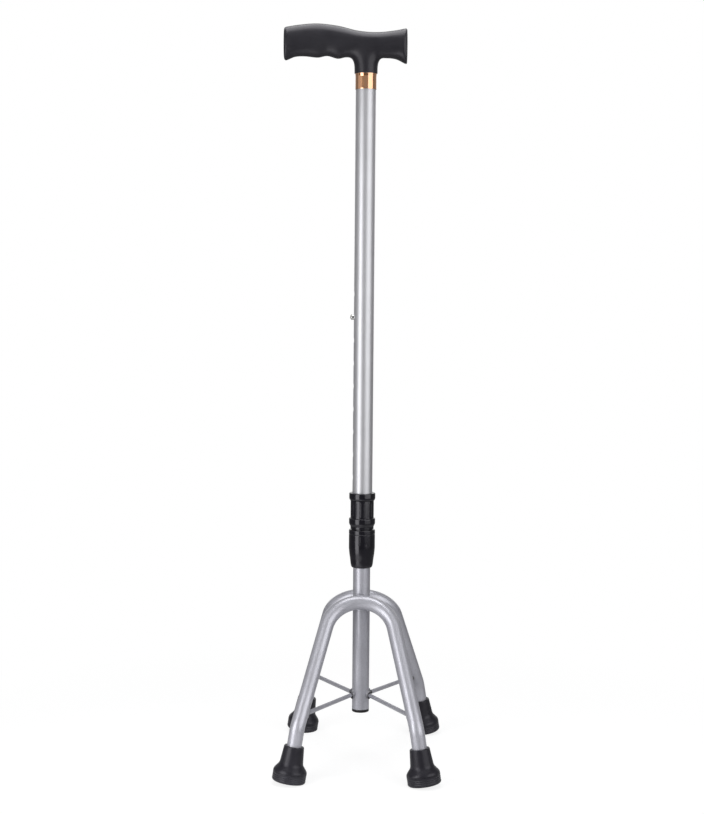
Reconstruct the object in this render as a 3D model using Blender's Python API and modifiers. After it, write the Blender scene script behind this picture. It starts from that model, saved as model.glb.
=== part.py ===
# Height-adjustable quad cane: a moulded T-handle on an aluminium shaft that slides over a stem,
# a snap button and a twist lock that hold the height, and two bent leg tubes on four rubber feet.
# Metres, +Z up. The origin is on the floor under the stem's axis, the handle's nose points to -X,
# the snap button is on the -X side, and the cane stands at the height of its second hole.
import math

import bmesh
import bpy
from mathutils import Matrix, Vector

# Clearance between pieces that touch, slide or turn in each other
GAP = 0.0003

# Stem, the lower tube that the base is welded to
STEM_RADIUS = 0.0095
STEM_WALL = 0.0012
STEM_FOOT_HEIGHT = 0.054
STEM_LENGTH = 0.463

# Plug in the stem's lower end
PLUG_RIM_THICKNESS = 0.003
PLUG_DEPTH = 0.014
PLUG_EDGE = 0.0008

# Shaft, the upper tube with the row of height holes
SHAFT_WALL = 0.0012
SHAFT_LENGTH = 0.498
HOLE_RADIUS = 0.0034
HOLE_PITCH = 0.0254
HOLE_COUNT = 9
HOLE_IN_USE = 1
LOWEST_HOLE_FROM_END = 0.0543

# Snap button and its V spring inside the stem
BUTTON_FROM_STEM_TOP = 0.0227
BUTTON_RADIUS = 0.003
BUTTON_PROUD = 0.004
BUTTON_DOME = 0.0018
RIVET_RADIUS = 0.0013
RIVET_HEAD_RADIUS = 0.0024
RIVET_HEAD_THICKNESS = 0.0007
SPRING_THICKNESS = 0.0008
SPRING_WIDTH = 0.008
SPRING_LENGTH = 0.046
SPRING_TIP = 0.007
SPRING_BEND_RADIUS = 0.0022

# Lock sleeve, pressed over the shaft's lower end
SLEEVE_WALL = 0.0016
SLEEVE_RIM_STEP = 0.0016
SLEEVE_RIM_HEIGHT = 0.008
SLEEVE_BARREL_HEIGHT = 0.020
SLEEVE_RING_HEIGHT = 0.0085
SLEEVE_STEP_HEIGHT = 0.0035
SPIGOT_WALL = 0.0021
SPIGOT_LENGTH = 0.0148
SLEEVE_RING_TAPER = 0.002
LOCK_EDGE = 0.0011
FLUTE_COUNT = 12
FLUTE_DEPTH = 0.0005

# Lock nut, screwed up the sleeve's spigot, and the split collet that it squeezes on the stem
NUT_TOP_GAP = 0.001
NUT_WALL = 0.0023
NUT_LENGTH = 0.0427
NUT_SHOULDER = 0.0016
NUT_BAND_HEIGHT = 0.005
NUT_BAND_GROOVE = 0.0006
NUT_FLUTE_HEIGHT = 0.0136
NUT_LIP = 0.0035

# Nut's lower end: height over its foot, and how far it has narrowed there
NUT_END = ((0.0220, 0.0), (0.0150, 0.0007), (0.0095, 0.0015), (0.0035, 0.0022), (0.0012, 0.0028))
COLLET_TOE_WALL = 0.0009
COLLET_SLITS = 6
COLLET_SLIT_WIDTH = 0.0012
COLLET_SLIT_SHARE = 0.7

# Leg arches: each is one tube, bent to a U, leaning out from the stem, with a knee above each foot
LEG_RADIUS = 0.008
LEG_WALL = 0.0012
ARCH_CROWN_HEIGHT = 0.179
ARCH_BEND_RADIUS = 0.0385
ARCH_LEAN = math.radians(34.5)
LEG_SPREAD = math.radians(12.8)
KNEE_HEIGHT = 0.0595
KNEE_BEND_RADIUS = 0.040
FOOT_SPAN_X = 0.146
FOOT_SPAN_Y = 0.208

# Brace rods from the stem to the legs
BRACE_RADIUS = 0.002
BRACE_STEM_HEIGHT = 0.0715
BRACE_LEG_HEIGHT = 0.0700
BRACE_STEM_ANGLE = math.radians(25.0)

# Rubber feet, pushed over the leg ends onto a steel washer; the flat is where the sole bears
FOOT_HEIGHT = 0.0385
FOOT_WALL = 0.0027
FOOT_SLEEVE_TAPER = 0.002
FOOT_SLEEVE_LENGTH = 0.019
FOOT_BASE_RADIUS = 0.0181
FOOT_BASE_HEIGHT = 0.0115
FOOT_BASE_EDGE = 0.0022
FOOT_RING_HEIGHT = 0.0045
FOOT_RING_DEPTH = 0.0006
FOOT_FLOOR = 0.0095
FOOT_FLAT = 0.0011
WASHER_THICKNESS = 0.0015
WASHER_HOLE_RADIUS = 0.003

# Handle: a moulded grip across the shaft, with a neck that stands on the shaft and plugs into it
HANDLE_NOSE = 0.0898
HANDLE_HEEL = 0.0451
HANDLE_END_ROUND = 0.0018
HANDLE_PLUG_DEPTH = 0.030
NECK_WALL_STEP = 0.0016
NECK_FLARE_HEIGHT = 0.0158
NECK_FLARE_NOSE = 0.010
NECK_FLARE_HEEL = 0.008
NECK_FLARE_POWER = 3
NECK_FLARE_SIDE = 0.0012
COLLAR_WALL = 0.0003
COLLAR_HEIGHT = 0.018

# Grip outline: distance from the shaft's axis towards the heel, and height over the neck's foot.
# The top line rises to a crown over the fingers and dips for the palm; the underside has the rests
# between the fingers and a hooked tip at each end.
GRIP_TOP = ((-0.0898, 0.0482), (-0.0730, 0.0509), (-0.0530, 0.0523), (-0.0300, 0.0497), (-0.0090, 0.0447),
            (0.0110, 0.0431), (0.0300, 0.0448), (0.0451, 0.0476))
GRIP_UNDERSIDE = ((-0.0898, 0.0125), (-0.0860, 0.0135), (-0.0780, 0.0167), (-0.0670, 0.0173),
                  (-0.0530, 0.0160), (-0.0425, 0.0177), (-0.0310, 0.0149), (-0.0226, 0.0164),
                  (0.0000, 0.0165), (0.0210, 0.0157), (0.0280, 0.0153), (0.0340, 0.0139),
                  (0.0410, 0.0104), (0.0451, 0.0087))
GRIP_HALF_WIDTH = ((-0.0898, 0.0158), (-0.0780, 0.0147), (-0.0550, 0.0138), (-0.0250, 0.0146),
                   (0.0050, 0.0150), (0.0300, 0.0146), (0.0451, 0.0156))
GRIP_SECTION_POWER = 2.6

# Facets round each kind of piece
TUBE_SIDES = 36
HOLE_SIDES = 16
LEG_SIDES = 18
LOCK_SIDES = FLUTE_COUNT * 3
FOOT_SIDES = 24
ROD_SIDES = 12
GRIP_SIDES = 24
GRIP_STATIONS = 25
NECK_SIDES = 28
SMOOTH_ANGLE = math.radians(35.0)

# Finishes: linear colour, roughness and metallic value
ANODISED = ((0.55, 0.55, 0.58), 0.3, 0.9)
SILVER_PAINT = ((0.42, 0.42, 0.44), 0.35, 0.7)
STEEL = ((0.45, 0.45, 0.46), 0.3, 1.0)
BRASS = ((0.78, 0.52, 0.22), 0.15, 1.0)
HANDLE_PLASTIC = ((0.035, 0.034, 0.036), 0.55, 0.0)
CAP_PLASTIC = ((0.008, 0.008, 0.009), 0.5, 0.0)
GLOSS_BLACK = ((0.014, 0.013, 0.016), 0.25, 0.0)
NYLON = ((0.6, 0.58, 0.52), 0.5, 0.0)
RUBBER = ((0.028, 0.027, 0.030), 0.7, 0.0)

# Sizes and heights that follow from the ones above
STEM_BORE = STEM_RADIUS - STEM_WALL
STEM_TOP = STEM_FOOT_HEIGHT + STEM_LENGTH
BUTTON_HEIGHT = STEM_TOP - BUTTON_FROM_STEM_TOP
SHAFT_BORE = STEM_RADIUS + GAP
SHAFT_RADIUS = SHAFT_BORE + SHAFT_WALL
SHAFT_FOOT = BUTTON_HEIGHT - (HOLE_COUNT - 1 - HOLE_IN_USE) * HOLE_PITCH - LOWEST_HOLE_FROM_END
SHAFT_TOP = SHAFT_FOOT + SHAFT_LENGTH
NECK_FOOT = SHAFT_TOP + GAP
SPRING_FACE = math.sqrt((STEM_BORE - GAP) ** 2 - (SPRING_WIDTH / 2) ** 2)
SPRING_MIDDLE = SPRING_FACE - SPRING_THICKNESS / 2
SLEEVE_BORE = SHAFT_RADIUS + GAP
BARREL_RADIUS = SLEEVE_BORE + SLEEVE_WALL
RIM_RADIUS = BARREL_RADIUS + SLEEVE_RIM_STEP
RING_TOP = SHAFT_FOOT + SLEEVE_RING_HEIGHT
BARREL_TOP = RING_TOP + SLEEVE_BARREL_HEIGHT
SLEEVE_TOP = BARREL_TOP + SLEEVE_RIM_HEIGHT
STEP_FOOT = SHAFT_FOOT - SLEEVE_STEP_HEIGHT
SPIGOT_FOOT = STEP_FOOT - SPIGOT_LENGTH
SPIGOT_BORE = STEM_RADIUS + GAP
SPIGOT_RADIUS = SPIGOT_BORE + SPIGOT_WALL
NUT_BORE = SPIGOT_RADIUS + GAP
NUT_RADIUS = NUT_BORE + NUT_WALL
NUT_TOP = STEP_FOOT - NUT_TOP_GAP
NUT_FOOT = NUT_TOP - NUT_LENGTH
NUT_SEAT = NUT_FOOT + NUT_LIP
NUT_TOE_BORE = SPIGOT_BORE + COLLET_TOE_WALL + GAP
ARCH_OFFSET = STEM_RADIUS + GAP + LEG_RADIUS
FOOT_BORE = LEG_RADIUS + GAP
FOOT_MOUTH_RADIUS = FOOT_BORE + FOOT_WALL
FOOT_NECK_RADIUS = FOOT_MOUTH_RADIUS + FOOT_SLEEVE_TAPER
LEG_END = FOOT_FLOOR + 2 * GAP + WASHER_THICKNESS


def clear_scene():
    for obj in list(bpy.data.objects):
        bpy.data.objects.remove(obj, do_unlink=True)


def make_collection(name):
    collection = bpy.data.collections.new(name)
    bpy.context.scene.collection.children.link(collection)
    return collection


def make_material(name, finish):
    colour, roughness, metallic = finish
    material = bpy.data.materials.new(name)
    material.use_nodes = True
    shader = material.node_tree.nodes["Principled BSDF"]
    shader.inputs["Base Color"].default_value = (*colour, 1.0)
    shader.inputs["Roughness"].default_value = roughness
    shader.inputs["Metallic"].default_value = metallic
    return material


def add_object(name, mesh, finish):
    obj = bpy.data.objects.new(name, mesh)
    CANE.objects.link(obj)
    mesh.materials.append(make_material(name, finish))
    return obj


def add_cutter(name, mesh):
    cutter = bpy.data.objects.new(name, mesh)
    CUTTERS.objects.link(cutter)
    cutter.hide_render = True
    cutter.display_type = "WIRE"
    return cutter


def shade(obj):
    obj.data.shade_smooth()
    obj.data.set_sharp_from_angle(angle=SMOOTH_ANGLE)


def mesh_from(bm, name):
    bmesh.ops.recalc_face_normals(bm, faces=bm.faces)
    mesh = bpy.data.meshes.new(name)
    bm.to_mesh(mesh)
    bm.free()
    return mesh


def skinned_mesh(name, rings, closed=False):
    # Skin a stack of equal rings of points; a closed stack joins its last ring to its first
    bm = bmesh.new()
    rows = [[bm.verts.new(point) for point in ring] for ring in rings]
    pairs = list(zip(rows, rows[1:]))
    if closed:
        pairs.append((rows[-1], rows[0]))
    for low, high in pairs:
        for i in range(len(low)):
            j = (i + 1) % len(low)
            bm.faces.new((low[i], low[j], high[j], high[i]))
    if not closed:
        bm.faces.new(rows[0])
        bm.faces.new(rows[-1])
    return mesh_from(bm, name)


def turned(name, profile, finish, sides=TUBE_SIDES, closed=True):
    # Turn a profile of (radius, height) about Z; it runs down its outer side, top to bottom
    mesh = bpy.data.meshes.new(name)
    edges = [(i, i + 1) for i in range(len(profile) - 1)]
    if closed:
        edges.append((len(profile) - 1, 0))
    mesh.from_pydata([(radius, 0.0, height) for radius, height in profile], edges, [])
    obj = add_object(name, mesh, finish)
    screw = obj.modifiers.new("turn", "SCREW")
    screw.axis = "Z"
    screw.steps = sides
    screw.render_steps = sides
    screw.use_merge_vertices = True
    screw.merge_threshold = 0.00005
    screw.use_normal_calculate = False
    screw.use_smooth_shade = True
    return obj


def cylinder_cutter(name, radius, start, end, sides=HOLE_SIDES):
    bm = bmesh.new()
    axis = Vector(end) - Vector(start)
    turn = axis.to_track_quat("Z", "Y").to_matrix().to_4x4()
    place = Matrix.Translation((Vector(start) + Vector(end)) / 2) @ turn
    bmesh.ops.create_cone(bm, cap_ends=True, segments=sides, radius1=radius, radius2=radius,
                          depth=axis.length, matrix=place)
    return add_cutter(name, mesh_from(bm, name))


def box_cutter(name, size, centre, turn=None):
    bm = bmesh.new()
    place = Matrix.Translation(centre) @ (turn or Matrix.Identity(4)) @ Matrix.Diagonal((*size, 1.0))
    bmesh.ops.create_cube(bm, size=1.0, matrix=place)
    return add_cutter(name, mesh_from(bm, name))


def cut(obj, cutter, operation="DIFFERENCE"):
    boolean = obj.modifiers.new(cutter.name, "BOOLEAN")
    boolean.operation = operation
    boolean.solver = "EXACT"
    boolean.object = cutter


def along(points, x):
    # Height of a smooth line through the points: a cubic between each pair, with Catmull-Rom slopes
    count = len(points)
    i = min(max(sum(1 for px, _ in points if px <= x) - 1, 0), count - 2)
    (x0, y0), (x1, y1) = points[i], points[i + 1]

    def slope(k):
        a, b = points[max(k - 1, 0)], points[min(k + 1, count - 1)]
        return (b[1] - a[1]) / (b[0] - a[0])

    span = x1 - x0
    t = (x - x0) / span
    return ((2 * t ** 3 - 3 * t ** 2 + 1) * y0 + (t ** 3 - 2 * t ** 2 + t) * span * slope(i)
            + (3 * t ** 2 - 2 * t ** 3) * y1 + (t ** 3 - t ** 2) * span * slope(i + 1))


def tube_profile(outer, inner, foot, top):
    return [(outer, top), (outer, foot), (inner, foot), (inner, top)]


# Stem and plug

def build_stem():
    profile = tube_profile(STEM_RADIUS, STEM_BORE, STEM_FOOT_HEIGHT, STEM_TOP)
    stem = turned("lower_stem", profile, SILVER_PAINT)
    cut(stem, cylinder_cutter("stem_hole", HOLE_RADIUS, (0, 0, BUTTON_HEIGHT),
                              (-2 * STEM_RADIUS, 0, BUTTON_HEIGHT)))


def build_plug():
    rim_top = STEM_FOOT_HEIGHT - GAP
    rim_foot = rim_top - PLUG_RIM_THICKNESS
    shank = STEM_BORE - GAP
    profile = [(0, rim_top + PLUG_DEPTH), (shank - PLUG_EDGE, rim_top + PLUG_DEPTH),
               (shank, rim_top + PLUG_DEPTH - PLUG_EDGE), (shank, rim_top), (STEM_RADIUS, rim_top)]
    for step in range(3):
        turn = step / 2 * math.pi / 2
        profile.append((STEM_RADIUS - PLUG_EDGE * (1 - math.cos(turn)),
                        rim_foot + PLUG_EDGE * (1 - math.sin(turn))))
    profile.append((0, rim_foot))
    turned("stem_plug", profile, CAP_PLASTIC, closed=False)


# Snap button and spring

def build_button():
    # Local +Z points out of the stem; heights are distances from the stem's axis
    tip = SHAFT_RADIUS + BUTTON_PROUD
    face = SPRING_FACE + GAP
    inner = SPRING_FACE - SPRING_THICKNESS - GAP
    profile = [(0, tip)]
    for step in range(1, 5):
        turn = step / 4 * math.pi / 2
        profile.append((BUTTON_RADIUS * math.sin(turn), tip - BUTTON_DOME * (1 - math.cos(turn))))
    head = inner - RIVET_HEAD_THICKNESS
    profile += [(BUTTON_RADIUS, face), (RIVET_RADIUS, face), (RIVET_RADIUS, inner),
                (RIVET_HEAD_RADIUS, inner), (RIVET_HEAD_RADIUS, head), (0, head)]
    button = turned("snap_button", profile, STEEL, sides=HOLE_SIDES, closed=False)
    button.location = (0, 0, BUTTON_HEIGHT)
    button.rotation_euler = (0, -math.pi / 2, 0)


def spring_path():
    # Down the button's leg, round the bend, and up the leg that bears on the far wall
    top = BUTTON_HEIGHT + SPRING_TIP
    shoulder = BUTTON_HEIGHT - SPRING_TIP
    bend = BUTTON_HEIGHT + SPRING_TIP - SPRING_LENGTH
    path = [(-SPRING_MIDDLE, top), (-SPRING_MIDDLE, shoulder)]
    for step in range(9):
        turn = math.pi + step / 8 * math.pi
        path.append((SPRING_BEND_RADIUS * math.cos(turn), bend + SPRING_BEND_RADIUS * math.sin(turn)))
    path += [(SPRING_MIDDLE, shoulder), (SPRING_MIDDLE, top)]
    return path


def build_spring():
    bm = bmesh.new()
    rows = [[bm.verts.new((x, side * SPRING_WIDTH / 2, z)) for side in (-1, 1)] for x, z in spring_path()]
    for low, high in zip(rows, rows[1:]):
        bm.faces.new((low[0], low[1], high[1], high[0]))
    spring = add_object("snap_spring", mesh_from(bm, "snap_spring"), STEEL)
    solid = spring.modifiers.new("strip", "SOLIDIFY")
    solid.thickness = SPRING_THICKNESS
    solid.offset = 0
    solid.use_even_offset = True
    rivet_hole = cylinder_cutter("rivet_hole", RIVET_RADIUS + GAP, (0, 0, BUTTON_HEIGHT),
                                 (-STEM_RADIUS, 0, BUTTON_HEIGHT))
    cut(spring, rivet_hole)
    shade(spring)


# Shaft with its height holes

def build_shaft():
    shaft = turned("upper_tube", tube_profile(SHAFT_RADIUS, SHAFT_BORE, SHAFT_FOOT, SHAFT_TOP), ANODISED)
    for index in range(HOLE_COUNT):
        height = SHAFT_FOOT + LOWEST_HOLE_FROM_END + index * HOLE_PITCH
        cut(shaft, cylinder_cutter(f"height_hole_{index + 1}", HOLE_RADIUS, (0, 0, height),
                                   (-2 * SHAFT_RADIUS, 0, height)))


# Twist lock

def fluted_ring(radius, height, depth):
    # Circle whose radius dips by depth in each flute: radius - depth * (1 - cos(count * angle)) / 2
    ring = []
    for i in range(LOCK_SIDES):
        angle = 2 * math.pi * i / LOCK_SIDES
        r = radius - depth * (1 - math.cos(FLUTE_COUNT * angle)) / 2
        ring.append((r * math.cos(angle), r * math.sin(angle), height))
    return ring


def fluted_body(name, rows, finish):
    # Rows of (radius, height, flute depth), down the outer side and up the bore
    rings = [fluted_ring(*row) for row in rows]
    shade(add_object(name, skinned_mesh(name, rings, closed=True), finish))


def build_lock_sleeve():
    seat = SHAFT_FOOT - GAP
    rim, barrel = RIM_RADIUS, BARREL_RADIUS
    rows = [
        (SLEEVE_BORE, SLEEVE_TOP, 0), (rim - LOCK_EDGE, SLEEVE_TOP, 0), (rim, SLEEVE_TOP - LOCK_EDGE, 0),
        (rim, BARREL_TOP + LOCK_EDGE, 0), (barrel, BARREL_TOP, 0), (barrel, BARREL_TOP - LOCK_EDGE, 0),
        (barrel, BARREL_TOP - 2 * LOCK_EDGE, FLUTE_DEPTH), (barrel, RING_TOP + 2 * LOCK_EDGE, FLUTE_DEPTH),
        (barrel, RING_TOP + LOCK_EDGE, 0), (barrel, RING_TOP, 0), (rim, RING_TOP - LOCK_EDGE, 0),
        (rim, SHAFT_FOOT + SLEEVE_RING_TAPER, 0), (barrel, SHAFT_FOOT - LOCK_EDGE, 0), (barrel, STEP_FOOT, 0),
        (SPIGOT_RADIUS, STEP_FOOT, 0), (SPIGOT_RADIUS, SPIGOT_FOOT, 0), (SPIGOT_BORE, SPIGOT_FOOT, 0),
        (SPIGOT_BORE, seat, 0), (SLEEVE_BORE, seat, 0),
    ]
    fluted_body("lock_sleeve", rows, GLOSS_BLACK)


def build_lock_nut():
    band_foot = NUT_TOP - NUT_BAND_HEIGHT
    flute_foot = band_foot - NUT_FLUTE_HEIGHT
    groove = NUT_RADIUS - NUT_BAND_GROOVE
    end = [(NUT_RADIUS - narrowing, NUT_FOOT + height, 0) for height, narrowing in NUT_END]
    end_radius = end[-1][0]
    rows = [
        (NUT_BORE, NUT_TOP, 0), (NUT_RADIUS - NUT_SHOULDER, NUT_TOP, 0),
        (NUT_RADIUS - NUT_SHOULDER / 4, NUT_TOP - NUT_SHOULDER / 2, 0),
        (NUT_RADIUS, NUT_TOP - NUT_SHOULDER, 0), (NUT_RADIUS, band_foot, 0),
        (groove, band_foot - NUT_BAND_GROOVE, 0), (NUT_RADIUS, band_foot - 2 * NUT_BAND_GROOVE, 0),
        (NUT_RADIUS, band_foot - 2 * LOCK_EDGE, FLUTE_DEPTH), (NUT_RADIUS, flute_foot, FLUTE_DEPTH),
        *end, (end_radius - LOCK_EDGE, NUT_FOOT, 0),
        (SPIGOT_BORE, NUT_FOOT, 0), (SPIGOT_BORE, NUT_SEAT, 0), (NUT_TOE_BORE, NUT_SEAT, 0),
        (NUT_BORE, SPIGOT_FOOT, 0),
    ]
    fluted_body("lock_nut", rows, GLOSS_BLACK)


def build_collet():
    # The cone lies a gap inside the nut's cone; slits from its toe let it close on the stem
    toe, heel = NUT_SEAT + GAP, SPIGOT_FOOT - GAP
    profile = [(NUT_BORE - GAP, heel), (NUT_TOE_BORE - GAP, toe), (SPIGOT_BORE, toe), (SPIGOT_BORE, heel)]
    collet = turned("lock_collet", profile, NYLON)
    slit_height = (heel - toe) * COLLET_SLIT_SHARE
    for index in range(COLLET_SLITS):
        turn = Matrix.Rotation(2 * math.pi * index / COLLET_SLITS, 4, "Z")
        centre = turn @ Vector((NUT_RADIUS, 0, toe + slit_height / 2 - COLLET_SLIT_WIDTH))
        size = (NUT_RADIUS, COLLET_SLIT_WIDTH, slit_height + 2 * COLLET_SLIT_WIDTH)
        cut(collet, box_cutter(f"collet_slit_{index + 1}", size, centre, turn))


# Leg arches, braces and feet

def arc(centre, start, normal, angle, steps):
    # Points of a circular arc that starts at start and turns by angle about normal
    arm = start - centre
    return [centre + Matrix.Rotation(angle * k / steps, 3, normal) @ arm for k in range(1, steps + 1)]


def leg_line(side_x, side_y):
    # Corner points of one leg's centre line: crown, end of the crown bend, knee, and floor
    lean = Vector((0, side_y * math.sin(ARCH_LEAN), -math.cos(ARCH_LEAN)))
    crown = Vector((0, side_y * ARCH_OFFSET, ARCH_CROWN_HEIGHT))
    sweep = math.pi / 2 - LEG_SPREAD
    across, down = ARCH_BEND_RADIUS * math.sin(sweep), ARCH_BEND_RADIUS * (1 - math.cos(sweep))
    knee_down = (ARCH_CROWN_HEIGHT - KNEE_HEIGHT) / math.cos(ARCH_LEAN)
    knee_across = across + (knee_down - down) * math.tan(LEG_SPREAD)
    bend_end = crown + Vector((side_x * across, 0, 0)) + lean * down
    knee = crown + Vector((side_x * knee_across, 0, 0)) + lean * knee_down
    floor = Vector((side_x * FOOT_SPAN_X / 2, side_y * FOOT_SPAN_Y / 2, 0))
    return crown, bend_end, knee, floor


def foot_axis(side_x, side_y):
    # Sole centre and upward direction of a foot; the sole's low edge dips FOOT_FLAT under the floor
    _, _, knee, floor = leg_line(side_x, side_y)
    up = (knee - floor).normalized()
    tilt = up.angle(Vector((0, 0, 1)))
    bearing_radius = FOOT_BASE_RADIUS - FOOT_BASE_EDGE
    rise = (bearing_radius * math.sin(tilt) - FOOT_FLAT) / math.cos(tilt)
    return floor + up * rise, up


def half_arch(side_x, side_y):
    # Centre line from the crown down one leg to its end in the foot
    crown, bend_end, knee, _ = leg_line(side_x, side_y)
    sole, up = foot_axis(side_x, side_y)
    lean = Vector((0, side_y * math.sin(ARCH_LEAN), -math.cos(ARCH_LEAN)))
    centre = crown + lean * ARCH_BEND_RADIUS
    normal = Vector((side_x, 0, 0)).cross(lean).normalized()
    points = [crown] + arc(centre, crown, normal, math.pi / 2 - LEG_SPREAD, 6)
    thigh = (knee - bend_end).normalized()
    shin = -up
    bend = thigh.angle(shin)
    setback = KNEE_BEND_RADIUS * math.tan(bend / 2)
    start = knee - thigh * setback
    turn_axis = thigh.cross(shin).normalized()
    knee_centre = start + turn_axis.cross(thigh) * KNEE_BEND_RADIUS
    points += [start] + arc(knee_centre, start, turn_axis, bend, 3)
    points.append(sole + up * LEG_END)
    return points


def build_arch(name, side_y):
    left, right = half_arch(-1, side_y), half_arch(1, side_y)
    points = list(reversed(left)) + right[1:]
    curve = bpy.data.curves.new(name, "CURVE")
    curve.dimensions = "3D"
    curve.bevel_depth = LEG_RADIUS
    curve.bevel_resolution = (LEG_SIDES - 4) // 2
    curve.resolution_u = 1
    spline = curve.splines.new("POLY")
    spline.points.add(len(points) - 1)
    for target, point in zip(spline.points, points):
        target.co = (*point, 1.0)
    path = bpy.data.objects.new(name + "_path", curve)
    CANE.objects.link(path)
    bpy.context.view_layer.update()
    shape = path.evaluated_get(bpy.context.evaluated_depsgraph_get())
    mesh = bpy.data.meshes.new_from_object(shape)
    bpy.data.objects.remove(path, do_unlink=True)
    bm = bmesh.new()
    bm.from_mesh(mesh)
    bmesh.ops.remove_doubles(bm, verts=bm.verts, dist=0.00001)
    bmesh.ops.recalc_face_normals(bm, faces=bm.faces)
    bm.to_mesh(mesh)
    bm.free()
    arch = add_object(name, mesh, SILVER_PAINT)
    wall = arch.modifiers.new("wall", "SOLIDIFY")
    wall.thickness = LEG_WALL
    wall.offset = -1
    shade(arch)


def build_brace(name, side_x, side_y):
    crown, bend_end, knee, _ = leg_line(side_x, side_y)
    share = (bend_end.z - BRACE_LEG_HEIGHT) / (bend_end.z - knee.z)
    leg_point = bend_end.lerp(knee, share)
    stem_point = Vector((side_x * STEM_RADIUS * math.cos(BRACE_STEM_ANGLE),
                         side_y * STEM_RADIUS * math.sin(BRACE_STEM_ANGLE), BRACE_STEM_HEIGHT))
    direction = (leg_point - stem_point).normalized()
    start = stem_point - direction * 2 * BRACE_RADIUS
    turn = direction.to_track_quat("Z", "Y").to_matrix().to_4x4()
    bm = bmesh.new()
    bmesh.ops.create_cone(bm, cap_ends=True, segments=ROD_SIDES, radius1=BRACE_RADIUS, radius2=BRACE_RADIUS,
                          depth=(leg_point - start).length,
                          matrix=Matrix.Translation((start + leg_point) / 2) @ turn)
    brace = add_object(name, mesh_from(bm, name), SILVER_PAINT)
    shade(brace)
    reach = 6 * BRACE_RADIUS
    cut(brace, cylinder_cutter(name + "_stem_cope", STEM_RADIUS + GAP, (0, 0, BRACE_STEM_HEIGHT - reach),
                               (0, 0, BRACE_STEM_HEIGHT + reach), TUBE_SIDES))
    thigh = (knee - bend_end).normalized()
    cut(brace, cylinder_cutter(name + "_leg_cope", LEG_RADIUS + GAP, leg_point - thigh * reach,
                               leg_point + thigh * reach, TUBE_SIDES))


def foot_profile():
    # Up the bore, over the mouth, and down the outer side to the middle of the sole
    base, edge = FOOT_BASE_RADIUS, FOOT_BASE_EDGE
    sleeve_foot = FOOT_HEIGHT - FOOT_SLEEVE_LENGTH
    lip = FOOT_WALL / 3
    profile = [(0, FOOT_FLOOR), (FOOT_BORE, FOOT_FLOOR), (FOOT_BORE, FOOT_HEIGHT),
               (FOOT_MOUTH_RADIUS - lip, FOOT_HEIGHT), (FOOT_MOUTH_RADIUS, FOOT_HEIGHT - lip),
               (FOOT_NECK_RADIUS, sleeve_foot)]
    for step in range(1, 4):
        turn = step / 4 * math.pi / 2
        profile.append((FOOT_NECK_RADIUS + (base - FOOT_NECK_RADIUS) * math.sin(turn),
                        FOOT_BASE_HEIGHT + (sleeve_foot - FOOT_BASE_HEIGHT) * math.cos(turn)))
    profile += [(base, FOOT_BASE_HEIGHT), (base, FOOT_RING_HEIGHT + FOOT_RING_DEPTH),
                (base - FOOT_RING_DEPTH, FOOT_RING_HEIGHT), (base, FOOT_RING_HEIGHT - FOOT_RING_DEPTH)]
    for step in range(4):
        turn = step / 3 * math.pi / 2
        profile.append((base - edge * (1 - math.cos(turn)), edge * (1 - math.sin(turn))))
    profile.append((0, 0))
    return profile


def build_foot(place_name, side_x, side_y):
    sole, up = foot_axis(side_x, side_y)
    turn = up.to_track_quat("Z", "Y").to_euler()
    foot = turned("foot_" + place_name, foot_profile(), RUBBER, sides=FOOT_SIDES, closed=False)
    foot.location = sole
    foot.rotation_euler = turn
    cut(foot, FLOOR)
    low = FOOT_FLOOR + GAP
    ring = [(LEG_RADIUS, low + WASHER_THICKNESS), (LEG_RADIUS, low), (WASHER_HOLE_RADIUS, low),
            (WASHER_HOLE_RADIUS, low + WASHER_THICKNESS)]
    washer = turned("foot_washer_" + place_name, ring, STEEL, sides=FOOT_SIDES)
    washer.location = sole
    washer.rotation_euler = turn


# Handle and collar

def grip_ring(x, shrink):
    # Superellipse across the grip at x: |y / width| ** power + |z / height| ** power = 1
    top, underside, width = along(GRIP_TOP, x), along(GRIP_UNDERSIDE, x), along(GRIP_HALF_WIDTH, x) - shrink
    middle, half = (top + underside) / 2, (top - underside) / 2 - shrink
    ring = []
    for i in range(GRIP_SIDES):
        angle = 2 * math.pi * (i + 0.5) / GRIP_SIDES
        c, s = math.cos(angle), math.sin(angle)
        y = width * math.copysign(abs(c) ** (2 / GRIP_SECTION_POWER), c)
        z = NECK_FOOT + middle + half * math.copysign(abs(s) ** (2 / GRIP_SECTION_POWER), s)
        ring.append((x, y, z))
    return ring


def build_grip():
    # Stations along the grip, with a quarter round at each end
    start, end, edge = -HANDLE_NOSE, HANDLE_HEEL, HANDLE_END_ROUND
    rounds = [edge * (1 - math.cos(k / 3 * math.pi / 2)) for k in range(3)]
    shrinks = [edge * (1 - math.sin(k / 3 * math.pi / 2)) for k in range(3)]
    rings = [grip_ring(start + d, s) for d, s in zip(rounds, shrinks)]
    inner = end - start - 2 * edge
    rings += [grip_ring(start + edge + inner * k / GRIP_STATIONS, 0) for k in range(GRIP_STATIONS + 1)]
    rings += [grip_ring(end - d, s) for d, s in reversed(list(zip(rounds, shrinks)))]
    grip = add_object("handle", skinned_mesh("handle", rings), HANDLE_PLASTIC)
    shade(grip)
    return grip


def neck_ring(height, radius, nose=0.0, heel=0.0, side=0.0):
    ring = []
    for i in range(NECK_SIDES):
        angle = 2 * math.pi * i / NECK_SIDES
        c, s = math.cos(angle), math.sin(angle)
        reach = radius + (heel if c > 0 else nose)
        ring.append((reach * c, (radius + side) * s, NECK_FOOT + height))
    return ring


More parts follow.
